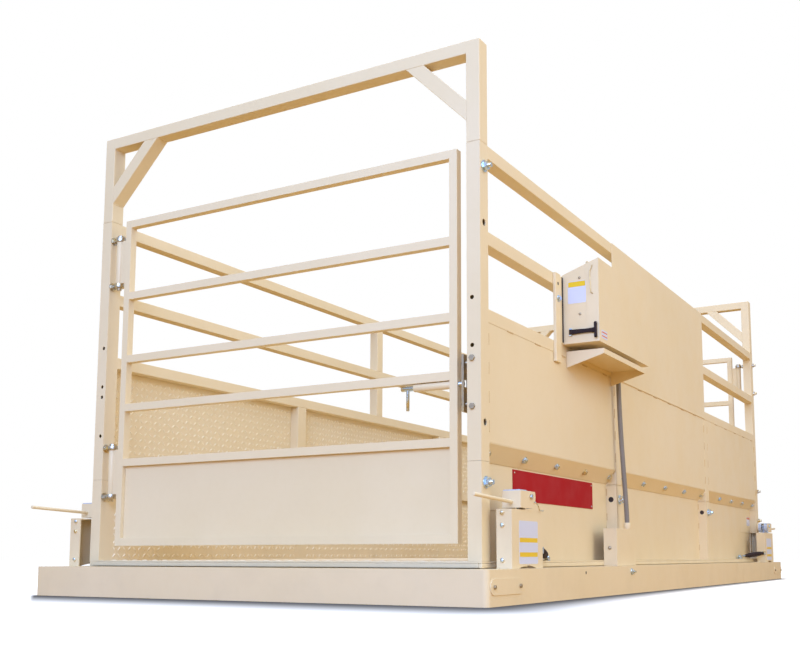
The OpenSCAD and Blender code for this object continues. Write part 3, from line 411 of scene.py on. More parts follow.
class Paint(Enum):
    """All finishes of the crate; the first of each slot has the slot's name."""

    COAT = PowderCoat("cream_coat", Slot.COAT, (0.835, 0.69, 0.455), (0.79, 0.635, 0.385))
    # the coat's real colour made lighter for the raised lugs: painted highlight where the lugs catch the light
    TREAD = PowderCoat("tread_coat", Slot.COAT, (0.93, 0.81, 0.60), (0.90, 0.76, 0.53), dust_amount=0.15)
    BEAD = PowderCoat("weld_bead", Slot.COAT, (0.66, 0.48, 0.25), (0.58, 0.40, 0.19), 0.6, 0.5)
    ZINC = ZincPlate("zinc_plate", Slot.ZINC, (0.58, 0.72, 0.88), (0.74, 0.60, 0.30))
    BRASS = ZincPlate("brass_wire", Slot.ZINC, (0.62, 0.46, 0.24), (0.70, 0.54, 0.30), 0.38)
    # darker, warmer plating, partly painted shade: the bolt keepers are darkened for the shade they stand in
    DULL = ZincPlate("dull_plate", Slot.ZINC, (0.44, 0.37, 0.27), (0.56, 0.44, 0.26), 0.45)
    GOLD = ZincPlate("gold_plate", Slot.ZINC, (0.60, 0.56, 0.48), (0.80, 0.58, 0.22), 0.30)
    RUBBER = Moulded("black_rubber", Slot.RUBBER, (0.022, 0.012, 0.014), (0.034, 0.020, 0.022), dust_amount=0.05,
                     shine=0.18)
    # painted shadow: near-black stand-in for the shade inside holes and in the gap beside the cabinet case
    BORE = Moulded("hole_shadow", Slot.RUBBER, (0.035, 0.022, 0.024), (0.02, 0.014, 0.016), gloss=0.7,
                   dust_amount=0.0, peel=0.1)
    CONDUIT = Moulded("grey_conduit", Slot.CONDUIT, (0.27, 0.235, 0.20), (0.20, 0.175, 0.15), gloss=0.45)
    INDICATOR = Moulded("indicator_case", Slot.INDICATOR, (0.30, 0.32, 0.34), (0.24, 0.26, 0.28), gloss=0.5,
                        dust_amount=0.05, peel=0.15)
    GLASS = Moulded("display_window", Slot.INDICATOR, (0.05, 0.07, 0.06), (0.03, 0.042, 0.036), 0.5, 0.12, 0.0,
                    peel=0.0, clear_coat=0.6)
    KEYS = Moulded("key_pads", Slot.INDICATOR, (0.55, 0.57, 0.60), (0.46, 0.48, 0.52), gloss=0.5,
                   dust_amount=0.0, peel=0.1)
    PLATE = PowderCoat("red_enamel", Slot.PLATE, (0.42, 0.004, 0.008), (0.36, 0.003, 0.007), 0.5, 0.5, 0.0, 0.15)
    LABEL = PowderCoat("label_film", Slot.PLATE, (0.68, 0.71, 0.86), (0.62, 0.65, 0.80), 0.5, 0.34, 0.1)
    YELLOW = PowderCoat("label_yellow", Slot.PLATE, (0.85, 0.58, 0.01), (0.78, 0.50, 0.01), 0.5, 0.34, 0.2)
    PALE_BLUE = PowderCoat("label_blue", Slot.PLATE, (0.48, 0.56, 0.72), (0.42, 0.50, 0.66), 0.5, 0.3, 0.1)
    ORANGE = PowderCoat("label_orange", Slot.PLATE, (0.72, 0.16, 0.03), (0.62, 0.12, 0.02), 0.5, 0.34, 0.1)


@cache
def material_of(paint: Paint) -> Material:
    """Material of a paint, made when it is first asked for."""
    return paint.value.make()


# --------------------------------------------------------------------------- mesh making


def put_in_scene(name: str, data: bpy.types.ID) -> bpy.types.Object:
    """Object made of a mesh, light or camera and linked to the scene.

    Args:
        name: Name of the object.
        data: What it shows.

    Returns:
        The object.
    """
    made = bpy.data.objects.new(name, data)
    bpy.context.scene.collection.objects.link(made)
    return made


def rounded_outline(w: float, h: float, r: float, steps: int = 4) -> list[Pair]:
    """Outline of a rectangle with round corners, centred on zero.

    Args:
        w: Width.
        h: Height.
        r: Corner radius.
        steps: Steps in each corner.

    Returns:
        Points of the outline.
    """
    points = []
    for quarter, (sx, sy) in enumerate(((1, 1), (-1, 1), (-1, -1), (1, -1))):
        for k in range(steps + 1):
            a = math.radians(90.0 * quarter + 90.0 * k / steps)
            points.append((sx * (w / 2 - r) + r * math.cos(a), sy * (h / 2 - r) + r * math.sin(a)))
    return points


def ring(middle: Vector, side: Vector, up: Vector, radius: float, sides: int) -> list[Vector]:
    """Points round a middle, in the plane of two directions."""
    angles = [2 * math.pi * k / sides for k in range(sides)]
    return [middle + radius * (math.cos(a) * side + math.sin(a) * up) for a in angles]


def smooth_path(points: Sequence[Point], steps: int) -> list[Vector]:
    """Catmull-Rom curve through points.

    Args:
        points: Points that the curve passes.
        steps: Steps between two points.

    Returns:
        Points along the curve.
    """
    p = [Vector(q) for q in points]
    made = []
    for k in range(len(p) - 1):
        a, b, c, d = p[max(k - 1, 0)], p[k], p[k + 1], p[min(k + 2, len(p) - 1)]
        square, cube = 2 * a - 5 * b + 4 * c - d, 3 * b - a - 3 * c + d
        for t in (j / steps for j in range(steps)):
            made.append(0.5 * (2 * b + (c - a) * t + square * t * t + cube * t ** 3))
    return [*made, p[-1]]


class Shape:
    """Vertices and faces gathered for one mesh object."""

    def __init__(self) -> None:
        """Start with nothing."""
        self.points: list[Row] = []
        self.faces: list[tuple[int, ...]] = []

    def add(self, points: Iterable[Point], faces: Iterable[Sequence[int]]) -> Shape:
        """Add vertices with faces that count from them.

        Args:
            points: New vertices.
            faces: Faces over the new vertices, counted from zero.

        Returns:
            This shape.
        """
        first = len(self.points)
        self.points.extend(tuple(p) for p in points)
        self.faces.extend(tuple(first + k for k in f) for f in faces)
        return self

    def loft(self, rings: Sequence[Sequence[Point]]) -> Shape:
        """Skin a row of rings that have equal counts, and close both ends.

        Args:
            rings: Rings of points, each in the same order.

        Returns:
            This shape.
        """
        n, last = len(rings[0]), len(rings) - 1
        faces = [(k * n + j, k * n + (j + 1) % n, (k + 1) * n + (j + 1) % n, (k + 1) * n + j)
                 for k in range(last) for j in range(n)]
        faces += [tuple(range(n - 1, -1, -1)), tuple(last * n + j for j in range(n))]
        return self.add([p for points in rings for p in points], faces)

    def sweep(self, path: Sequence[Point], radii: Sequence[float] | float, sides: int = 10) -> Shape:
        """Round bar along a path.

        Args:
            path: Points along the middle.
            radii: One radius, or one for each point.
            sides: Points round the bar.

        Returns:
            This shape.
        """
        route = [Vector(p) for p in path]
        sizes = [radii] * len(route) if isinstance(radii, float) else radii
        heading = (route[1] - route[0]).normalized()
        side = heading.orthogonal().normalized()
        rings = []
        for k, p in enumerate(route):
            ahead = (route[min(k + 1, len(route) - 1)] - route[max(k - 1, 0)]).normalized()
            side = (heading.rotation_difference(ahead) @ side).normalized()
            heading = ahead
            rings.append(ring(p, side, heading.cross(side), sizes[k], sides))
        return self.loft(rings)

    def turn(self, origin: Point, axis: Vector, profile: Iterable[Pair], sides: int = 24) -> Shape:
        """Turned piece about an axis.

        Args:
            origin: Start of the axis.
            axis: Unit direction of the axis.
            profile: Pairs of radius and distance along the axis.
            sides: Points round it.

        Returns:
            This shape.
        """
        side = axis.orthogonal().normalized()
        up, start = axis.cross(side), Vector(origin)
        return self.loft([ring(start + h * axis, side, up, max(r, 1e-5), sides) for r, h in profile])

    def dome(self, origin: Point, axis: Vector, radius: float) -> Shape:
        """Domed head of a rivet or screw."""
        profile = ((1.0, 0.0), (0.92, 0.3), (0.55, 0.55), (0.0, 0.62))
        return self.turn(origin, axis, [(radius * r, radius * h) for r, h in profile], 14)

    def slab(self, low: Point, high: Point, draw: float, axis: Axis) -> Shape:
        """Box between two corners whose far face draws in along an axis.

        Args:
            low: Lowest corner.
            high: Highest corner.
            draw: How far the edges of the far face draw in.
            axis: Direction in which the box narrows.

        Returns:
            This shape.
        """
        k = list(Axis).index(axis)
        i, j = (n for n in range(3) if n != k)
        rings = []
        for level, cut in ((low[k], 0.0), (high[k], draw)):
            near, far = [c + cut for c in low], [c - cut for c in high]
            points = []
            for first, second in ((near, near), (far, near), (far, far), (near, far)):
                p = [level] * 3
                p[i], p[j] = first[i], second[j]
                points.append(p)
            rings.append(points)
        return self.loft(rings)

    def copies(self, matrices: Sequence[Matrix]) -> Shape:
        """Replace the shape by transformed copies of itself.

        Args:
            matrices: One matrix for each copy.

        Returns:
            This shape.
        """
        points, faces = self.points, self.faces
        self.points, self.faces = [], []
        for m in matrices:
            flip = m.determinant() < 0
            self.add([m @ Vector(p) for p in points], [f[::-1] if flip else f for f in faces])
        return self

    def build(self, name: str, paint: Paint, body: str = ROOT, smooth: float = 35.0) -> bpy.types.Object:
        """Make the object and let it ride on a body.

        Args:
            name: Name of the object.
            paint: Its finish.
            body: CAD body that it moves with.
            smooth: Angle in degrees under which edges are shaded smooth.

        Returns:
            The object.
        """
        mesh = bpy.data.meshes.new(name)
        mesh.from_pydata(self.points, [], self.faces)
        mesh.validate()
        mesh.materials.append(material_of(paint))
        made = put_in_scene(name, mesh)
        mesh.polygons.foreach_set("use_smooth", [True] * len(mesh.polygons))
        mesh.set_sharp_from_angle(angle=math.radians(smooth))
        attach(made, body)
        log.info("%s rides on %s with %d faces", name, body, len(self.faces))
        return made


@dataclass(frozen=True)
class Plate:
    """Flat plate with round corners, whose top edge draws in by its rim."""

    face: Face
    size: Pair
    corner: float
    depth: float
    rim: float = 0.0

    def add(self, shape: Shape, middle: Point) -> Shape:
        """Add the plate to a shape.

        Args:
            shape: Shape to add to.
            middle: Middle of the plate's foot.

        Returns:
            The shape.
        """
        wide, high = (Vector(way) for way in self.face.value)
        levels = [(0.0, 0.0), (self.depth - self.rim, 0.0)]
        if self.rim > 0.0:
            levels.append((self.depth, self.rim))
        rings = []
        for height, draw in levels:
            start = Vector(middle) + height * self.face.normal
            shares = ((x, y, 1.0 - draw / math.hypot(x, y)) for x, y in rounded_outline(*self.size, self.corner))
            rings.append([start + x * k * wide + y * k * high for x, y, k in shares])
        return shape.loft(rings)


@dataclass(frozen=True)
class BlankPlate:
    """Bare plate with plain bands, where the photo has a printed one."""

    face: Face
    middle: Point
    size: Pair
    corner: float
    band: Pair
    rises: Row
    band_corner: float = 0.001
    thick: float = 0.0006
    thin: float = 0.0003

    def film(self) -> Shape:
        """The plate itself."""
        return Plate(self.face, self.size, self.corner, self.thick, self.thin).add(Shape(), self.middle)

    def bands(self) -> Shape:
        """The bands on the plate's outer face.

        Returns:
            Their shape.
        """
        shape, band = Shape(), Plate(self.face, self.band, self.band_corner, self.thin)
        for rise in self.rises:
            band.add(shape, Vector(self.middle) + self.thick * self.face.normal + rise * Axis.Z.vector)
        return shape


@dataclass(frozen=True)
class Turned:
    """Turned pieces of one profile at several places."""

    axis: Point
    places: Points
    profile: Pairs
    sides: int = 24

    def add(self, shape: Shape) -> Shape:
        """Add the pieces to a shape.

        Args:
            shape: Shape to add to.

        Returns:
            The shape.
        """
        for place in self.places:
            shape.turn(place, Vector(self.axis), self.profile, self.sides)
        return shape


@dataclass(frozen=True)
class Fastener:
    """Hexagon bolt with a washer and a threaded tail."""

    washer: Pairs = ((0.015, 0.0), (0.015, 0.0021), (0.0141, 0.003))
    head: Pairs = ((0.011547, 0.003), (0.011547, 0.0098), (0.0103923, 0.011))
    head_sides: int = 6
    thread: Pair = (0.004472, 0.0052)
    thread_sides: int = 14
    half_thread: float = 0.0012

    def bolt(self, shape: Shape, origin: Point, axis: Vector, tail: float = 0.0) -> None:
        """Washer, hexagon head and an optional threaded tail.

        Args:
            shape: Shape to add to.
            origin: Point on the surface.
            axis: Outward direction.
            tail: Length of thread that stands out of the head.
        """
        shape.turn(origin, axis, self.washer).turn(origin, axis, self.head, self.head_sides)
        if tail > 0.0:
            steps, top = int(tail / self.half_thread), self.head[-1][1]
            profile = [(self.thread[k % 2], top + tail * k / steps) for k in range(steps + 1)]
            shape.turn(origin, axis, profile, self.thread_sides)


# --------------------------------------------------------------------------- sub-assemblies


@dataclass
class FrameDressing:
    """Finish and edges of the CAD nodes."""

    tube_round: float = 0.003
    thin_round: float = 0.0008
    round_steps: int = 2
    round_over: float = 40.0
    weld_gap: float = 0.00002
    flat_under: float = 0.5
    bare: tuple[str, ...] = ("conduit",)
    # nodes in the darker plating, which on the bolt keepers is painted shade
    dull: tuple[str, ...] = ("cover_screws", "bolt_keepers", "keeper_screws")
    gold: tuple[str, ...] = ("hinge_nuts", "eye_bolts", "hinge_pins")
    thin: tuple[str, ...] = (
        "left_lower_sheets", "right_lower_sheets", "left_upper_sheets", "right_upper_sheets", "side_skirts",
        "shield_sheet", "front_gate_sheet", "rear_gate_sheet", "base_covers", "name_plate", "cabinet_case",
        "cabinet_door", "cabinet_shelf", "wiring_cover", "deck_plate")

    def soften(self, node: bpy.types.Object, width: float) -> None:
        """Join a node's points and faces and round its sharp edges.

        Args:
            node: Object to round.
            width: Width of the bevel.
        """
        weld = node.modifiers.new("joined_points", "WELD")
        weld.merge_threshold = self.weld_gap
        flat = node.modifiers.new("whole_faces", "DECIMATE")
        flat.decimate_type = "DISSOLVE"
        flat.angle_limit = math.radians(self.flat_under)
        bevel = node.modifiers.new("rounded_edges", "BEVEL")
        bevel.width = width
        bevel.segments = self.round_steps
        bevel.limit_method = "ANGLE"
        bevel.angle_limit = math.radians(self.round_over)
        bevel.use_clamp_overlap = True

    def dress(self, frame: dict) -> None:
        """Give each node its material and rounded edges.
        """
        slots = {row["node"]: Slot(row["material_slot"]) for row in frame["record"]["subparts"]}
        for name, node in frame["nodes"].items():
            paint = Paint.DULL if name in self.dull else Paint.GOLD if name in self.gold else Paint[slots[name].name]
            node.data.materials.clear()
            node.data.materials.append(material_of(paint))
            for face in node.data.polygons:
                face.material_index = 0
            if name not in self.bare:
                tube = slots[name] is Slot.COAT and name not in self.thin
                self.soften(node, self.tube_round if tube else self.thin_round)
            log.info("%s wears %s", name, paint.value.name)


@dataclass
class TreadPlate:
    """Raised lugs of the tread plate on the deck and on the inner faces of the side sheets."""

    pitch: float = 0.030
    lug_size: Point = (0.025, 0.0075, 0.003)
    lug: Points = (
        (-1 / 2, 0, 0), (-1 / 6, -1 / 2, 0), (1 / 6, -1 / 2, 0), (1 / 2, 0, 0), (1 / 6, 1 / 2, 0), (-1 / 6, 1 / 2, 0),
        (-1 / 4, 0, 1), (1 / 4, 0, 1))
    lug_faces: tuple[tuple[int, ...], ...] = (
        (0, 1, 6), (1, 2, 7, 6), (2, 3, 7), (3, 4, 7), (4, 5, 6, 7), (5, 0, 6))
    smooth: float = 20.0
    deck_half: Pair = (0.893, 2.215)
    bays: Pairs = ((-2.186, -0.856), (-0.772, 0.772), (0.856, 2.186))
    corners: tuple[tuple[str, float, float], ...] = (("front", -2.186, -1.882), ("rear", 1.882, 2.186))
    gap_end: float = 1.878
    sill: float = 0.899
    upper_rise: Pair = (0.607, 0.388)
    lower_rise: Pair = (0.19, 0.306)
    sill_rise: Pair = (0.149, 0.036)
    corner_rise: Pair = (0.149, 0.218)

    def cover(self, name: str, origin: Point, u: Point, v: Point, size: Pair) -> None:
        """Cover a rectangle with lugs that alternate between two slants.

        Args:
            name: Name of the piece.
            origin: Corner of the rectangle.
            u: Unit direction of its width.
            v: Unit direction of its length; the lugs rise along u x v.
            size: Extent along u and along v.
        """
        counts = [int(extent / self.pitch) for extent in size]
        starts = [(extent - (count - 1) * self.pitch) / 2 for extent, count in zip(size, counts)]
        grid = np.meshgrid(*(np.arange(count) for count in counts), indexing="ij")
        gu, gv = (g.ravel()[:, None] for g in grid)
        slant = np.where((gu + gv) % 2 == 0, math.pi / 4, -math.pi / 4)
        along, across, rise = (np.array(self.lug) * self.lug_size).T
        x = along * np.cos(slant) - across * np.sin(slant) + (starts[0] + gu * self.pitch)
        y = along * np.sin(slant) + across * np.cos(slant) + (starts[1] + gv * self.pitch)
        z = np.broadcast_to(rise, x.shape)
        a, b = np.array(u, float), np.array(v, float)
        points = np.array(origin, float) + x[..., None] * a + y[..., None] * b + z[..., None] * np.cross(a, b)
        shape = Shape()
        shape.points = [tuple(p) for p in points.reshape(-1, 3)]
        shape.faces = [tuple(k * len(rise) + j for j in f) for k in range(len(gu)) for f in self.lug_faces]
        # the lugs wear the lighter copy of the coat, a painted highlight
        shape.build(name, Paint.TREAD, smooth=self.smooth)

    def wall(self, name: str, x: float, near: float, far: float, rise: Pair) -> None:
        """Cover a strip of an inner wall with lugs that point into the crate.

        Args:
            name: Name of the piece.
            x: Place of the wall's inner face.
            near: Front end of the strip.
            far: Rear end of the strip.
            rise: Lowest level and height of the strip.
        """
        start, way = (far, -1) if x > 0 else (near, 1)
        self.cover(name, (x, start, rise[0]), (0, way, 0), Axis.Z.value, (far - near, rise[1]))

    def build(self) -> None:
        """Lay the lugs on the deck and on the inner walls."""
        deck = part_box("deck_plate")
        wide, long = self.deck_half
        self.cover("deck_tread", (-wide, -long, deck[1].z), Axis.X.value, Axis.Y.value, (2 * wide, 2 * long))
        for side, word in ((1, "right"), (-1, "left")):
            inner = 0 if side > 0 else 1
            upper, lower = (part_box(f"{word}_{row}_sheets")[inner].x for row in ("upper", "lower"))
            sill = side * self.sill
            for k, (y0, y1) in enumerate(self.bays):
                near, far = max(y0, -self.gap_end), min(y1, self.gap_end)
                self.wall(f"{word}_upper_tread_{k}", upper, y0, y1, self.upper_rise)
                self.wall(f"{word}_lower_tread_{k}", lower, near, far, self.lower_rise)
                self.wall(f"{word}_sill_tread_{k}", sill, near, far, self.sill_rise)
            for end, near, far in self.corners:
                self.wall(f"{word}_corner_tread_{end}", sill, near, far, self.corner_rise)


@dataclass(frozen=True)
class Beads:
    """Equal rippled weld beads that start at every place of a grid."""

    x: Row
    y: Row
    z: Row
    way: Point
    radius: float = 0.0032
    ripple: float = 0.0045
    tip: float = 0.45
    valley: float = 0.82
    sides: int = 7

    def lay(self, shape: Shape, mirror: float = 1.0) -> Shape:
        """Add the beads to a shape.

        Args:
            shape: Shape to add to.
            mirror: Factor on X, -1 for the same beads on the left side.

        Returns:
            The shape.
        """
        steps = max(4, int(Vector(self.way).length / self.ripple) * 2)
        radii = [self.radius * (self.tip if k in (0, steps) else 1.0 if k % 2 else self.valley)
                 for k in range(steps + 1)]
        for place in product(self.x, self.y, self.z):
            start, way = (Vector((mirror * x, y, z)) for x, y, z in (place, self.way))
            shape.sweep([start.lerp(start + way, k / steps) for k in range(steps + 1)], radii, self.sides)
        return shape


@dataclass
class WeldWork:
    """Weld beads, stitches and ground seams where the tubes and sheets meet."""

    proud: float = 0.0003
    sunk: float = 0.0002
    seam_half: float = 0.005
    seam_margin: float = 0.002
    post: float = 2.1895
    bay_edges: Row = (-0.852, -0.776, 0.776, 0.852)
    edge_room: float = 0.06
    upper_face: Row = (0.9532,)
    upper_top: Row = (0.9968,)
    upper_levels: Row = (0.60, 0.705, 0.81, 0.915)
    lower_face: Row = (0.9045,)
    lower_levels: Row = (0.20, 0.33, 0.445)
    stitch: float = 0.055
    upper_stitch: Point = (0.0, 0.0, 0.044)
    upper_radius: float = 0.0026
    lower_stitch: Point = (0.0, 0.0, 0.033)
    stitch_count: int = 17
    stitch_start: float = 0.6
    gate_faces: Pair = (-2.2535, -2.2215)
    gate_stiles: Pair = (-0.776, 0.828)
    gate_tops: Row = (1.645, 1.318, 1.035, 0.820, 0.581, 0.240)
    gate_tube: float = 0.032
    gate_beads: Beads = Beads(
        (-0.7754, 0.8274), (-2.2505,), (1.613, 1.318, 1.286, 1.035, 1.003, 0.820, 0.788, 0.581, 0.549, 0.240),
        (0.0, 0.026, 0.0), 0.0024)
    arch_faces: Pair = (-2.2535, -2.1895)
    arch_legs: Pair = (-0.899, 0.899)
    arch_bar: Pair = (2.002, 2.051)
    arch_beads: tuple[Beads, ...] = (
        Beads((0.898,), (-2.2495,), (2.002,), (0.0, 0.056, 0.0)),
        Beads((0.899,), (-2.2495,), (1.7445, 1.8225), (0.0, 0.056, 0.0)),
        Beads((0.6412, 0.7192), (-2.2495,), (2.0018,), (0.0, 0.056, 0.0)))
    rail_beads: tuple[Beads, ...] = (
        Beads((0.903,), (-2.1893, 2.1893), (1.6595, 1.6095, 1.334, 1.284, 1.047, 0.997), (0.047, 0.0, 0.0), 0.0028),
        Beads((0.903,), (-0.032, 0.032), (1.047, 1.284, 1.334, 1.6095), (0.047, 0.0, 0.0), 0.0026))

    def both_sides(self, shape: Shape, rows: Iterable[Beads]) -> Shape:
        """Add rows of beads on both sides of the crate to a shape."""
        for row, mirror in product(rows, (-1.0, 1.0)):
            row.lay(shape, mirror)
        return shape

    def seams(self, shape: Shape, places: Pair, faces: Pair, levels: Pair) -> Shape:
        """Add ground seams on both faces of a bar along X, where it meets two uprights.

        Args:
            shape: Shape to add to.
            places: X of the two seams.
            faces: Y of the bar's front and back face.
            levels: Z of its underside and top.

        Returns:
            The shape.
        """
        low, high = levels[0] + self.seam_margin, levels[1] - self.seam_margin
        for x, (face, way) in product(places, ((faces[1], 1.0), (-faces[0], -1.0))):
            strip = Shape().slab((x - self.seam_half, face - self.sunk, low),
                                 (x + self.seam_half, face + self.proud, high), self.proud, Axis.Y)
            strip.copies([Matrix.Diagonal((1.0, way, 1.0, 1.0))])
            shape.add(strip.points, strip.faces)
        return shape

    def stitches(self) -> None:
        """Stitch welds along the side sheets' edges."""
        pitch = 2 * self.post / self.stitch_count
        starts = [-self.post + (k + self.stitch_start) * pitch for k in range(self.stitch_count)]
        clear = [min(abs(abs(y + self.stitch / 2) - abs(edge)) for edge in self.bay_edges) for y in starts]
        tops = tuple(y for y, room in zip(starts, clear) if room >= self.edge_room)
        ends = (-self.post, *self.bay_edges, self.post)
        rows = (Beads(self.upper_face, tops, self.upper_top, (0.0, self.stitch, 0.0)),
                Beads(self.upper_face, ends, self.upper_levels, self.upper_stitch, self.upper_radius),
                Beads(self.lower_face, self.bay_edges, self.lower_levels, self.lower_stitch))
        self.both_sides(Shape(), rows).build("stitch_welds", Paint.BEAD)

    def build(self) -> None:
        """Lay the welds of the sheets, both gates, the end arches and the side rails."""
        self.stitches()
        for end in End:
            shape = self.gate_beads.lay(Shape())
            for top in self.gate_tops:
                self.seams(shape, self.gate_stiles, self.gate_faces, (top - self.gate_tube, top))
            gate = f"{end.name.lower()}_gate"
            shape.copies([end.turn]).build(f"{gate}_welds", Paint.COAT, gate)
        arches = self.seams(Shape(), self.arch_legs, self.arch_faces, self.arch_bar)
        self.both_sides(arches, self.arch_beads).copies([end.turn for end in End]).build("arch_welds", Paint.COAT)
        self.both_sides(Shape(), self.rail_beads).build("rail_welds", Paint.COAT)


@dataclass
class SideTrim:
    """Bolts, screw, painted hole shadows, rivets and the rear plate on the crate's sides."""

    fastener: Fastener = Fastener()
    base_bolt: Point = (1.067, -0.997, 0.096)
    base_tail: float = 0.010
    bar_bolt: Point = (0.9662, -1.559, 1.226)
    # discs of painted shadow over the holes in the base, the bay posts and the near carrier bar
    base_holes: tuple[Turned, ...] = (
        Turned((-1, 0, 0), ((-1.0671, -1.560, 0.099),), ((0.006, 0.0), (0.006, 0.0002), (0.002, 0.0003)), 16),
        Turned((1, 0, 0), ((1.0671, -1.560, 0.099),), ((0.006, 0.0), (0.006, 0.0002), (0.002, 0.0003)), 16))
    bay_holes: Turned = Turned(
        (0, 1, 0), tuple((x, y, 0.427) for x in (-0.9265, 0.9265) for y in (-0.8515, 0.7765)),
        ((0.0124, 0.0), (0.0124, 0.0003), (0.006, 0.0004)))
    bar_hole: Turned = Turned(
        (1, 0, 0), ((0.9663, -1.559, 1.29),), ((0.007, 0.0), (0.007, 0.0002), (0.002, 0.0003)), 16)
    cover_screw: Point = (0.982, -1.040, 0.201)
    cover_screw_radius: float = 0.0085
    rivet_inset: Pair = (0.016, 0.012)
    rivet_radius: float = 0.004
    rear_plate: BlankPlate = BlankPlate(
        Face.RIGHT, (0.9041, 2.138, 0.412), (0.095, 0.062), 0.004, (0.091, 0.013), (0.022,))

    def bolts(self) -> None:
        """Small bolts on the base and the near carrier bar, and the wiring cover's screw."""
        x, y, z = self.base_bolt
        shape = Shape()
        for side in (-1, 1):
            self.fastener.bolt(shape, (side * x, y, z), side * Axis.X.vector, self.base_tail)
        self.fastener.bolt(shape, self.bar_bolt, Axis.X.vector)
        shape.build("frame_bolts", Paint.ZINC)
        screw = Shape().dome(self.cover_screw, -Axis.Y.vector, self.cover_screw_radius)
        screw.build("wiring_cover_screw", Paint.DULL)

    def holes(self) -> None:
        """Dark discs of painted shadow where the base, the bay posts and the near carrier bar have holes."""
        shape = Shape()
        for row in (*self.base_holes, self.bay_holes, self.bar_hole):
            row.add(shape)
        shape.build("frame_holes", Paint.BORE)

    def plate_rivets(self) -> None:
        """Rivets at the corners of the red plate."""
        low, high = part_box("name_plate")
        in_y, in_z = self.rivet_inset
        shape = Shape()
        for y in (low.y + in_y, high.y - in_y):
            for z in (low.z + in_z, high.z - in_z):
                shape.dome((high.x, y, z), Axis.X.vector, self.rivet_radius)
        shape.build("red_plate_rivets", Paint.ZINC)

    def build(self) -> None:
        """Add every piece."""
        self.bolts()
        self.holes()
        self.plate_rivets()
        self.rear_plate.film().build("rear_sheet_plate", Paint.LABEL)
        self.rear_plate.bands().build("rear_sheet_band", Paint.ORANGE)


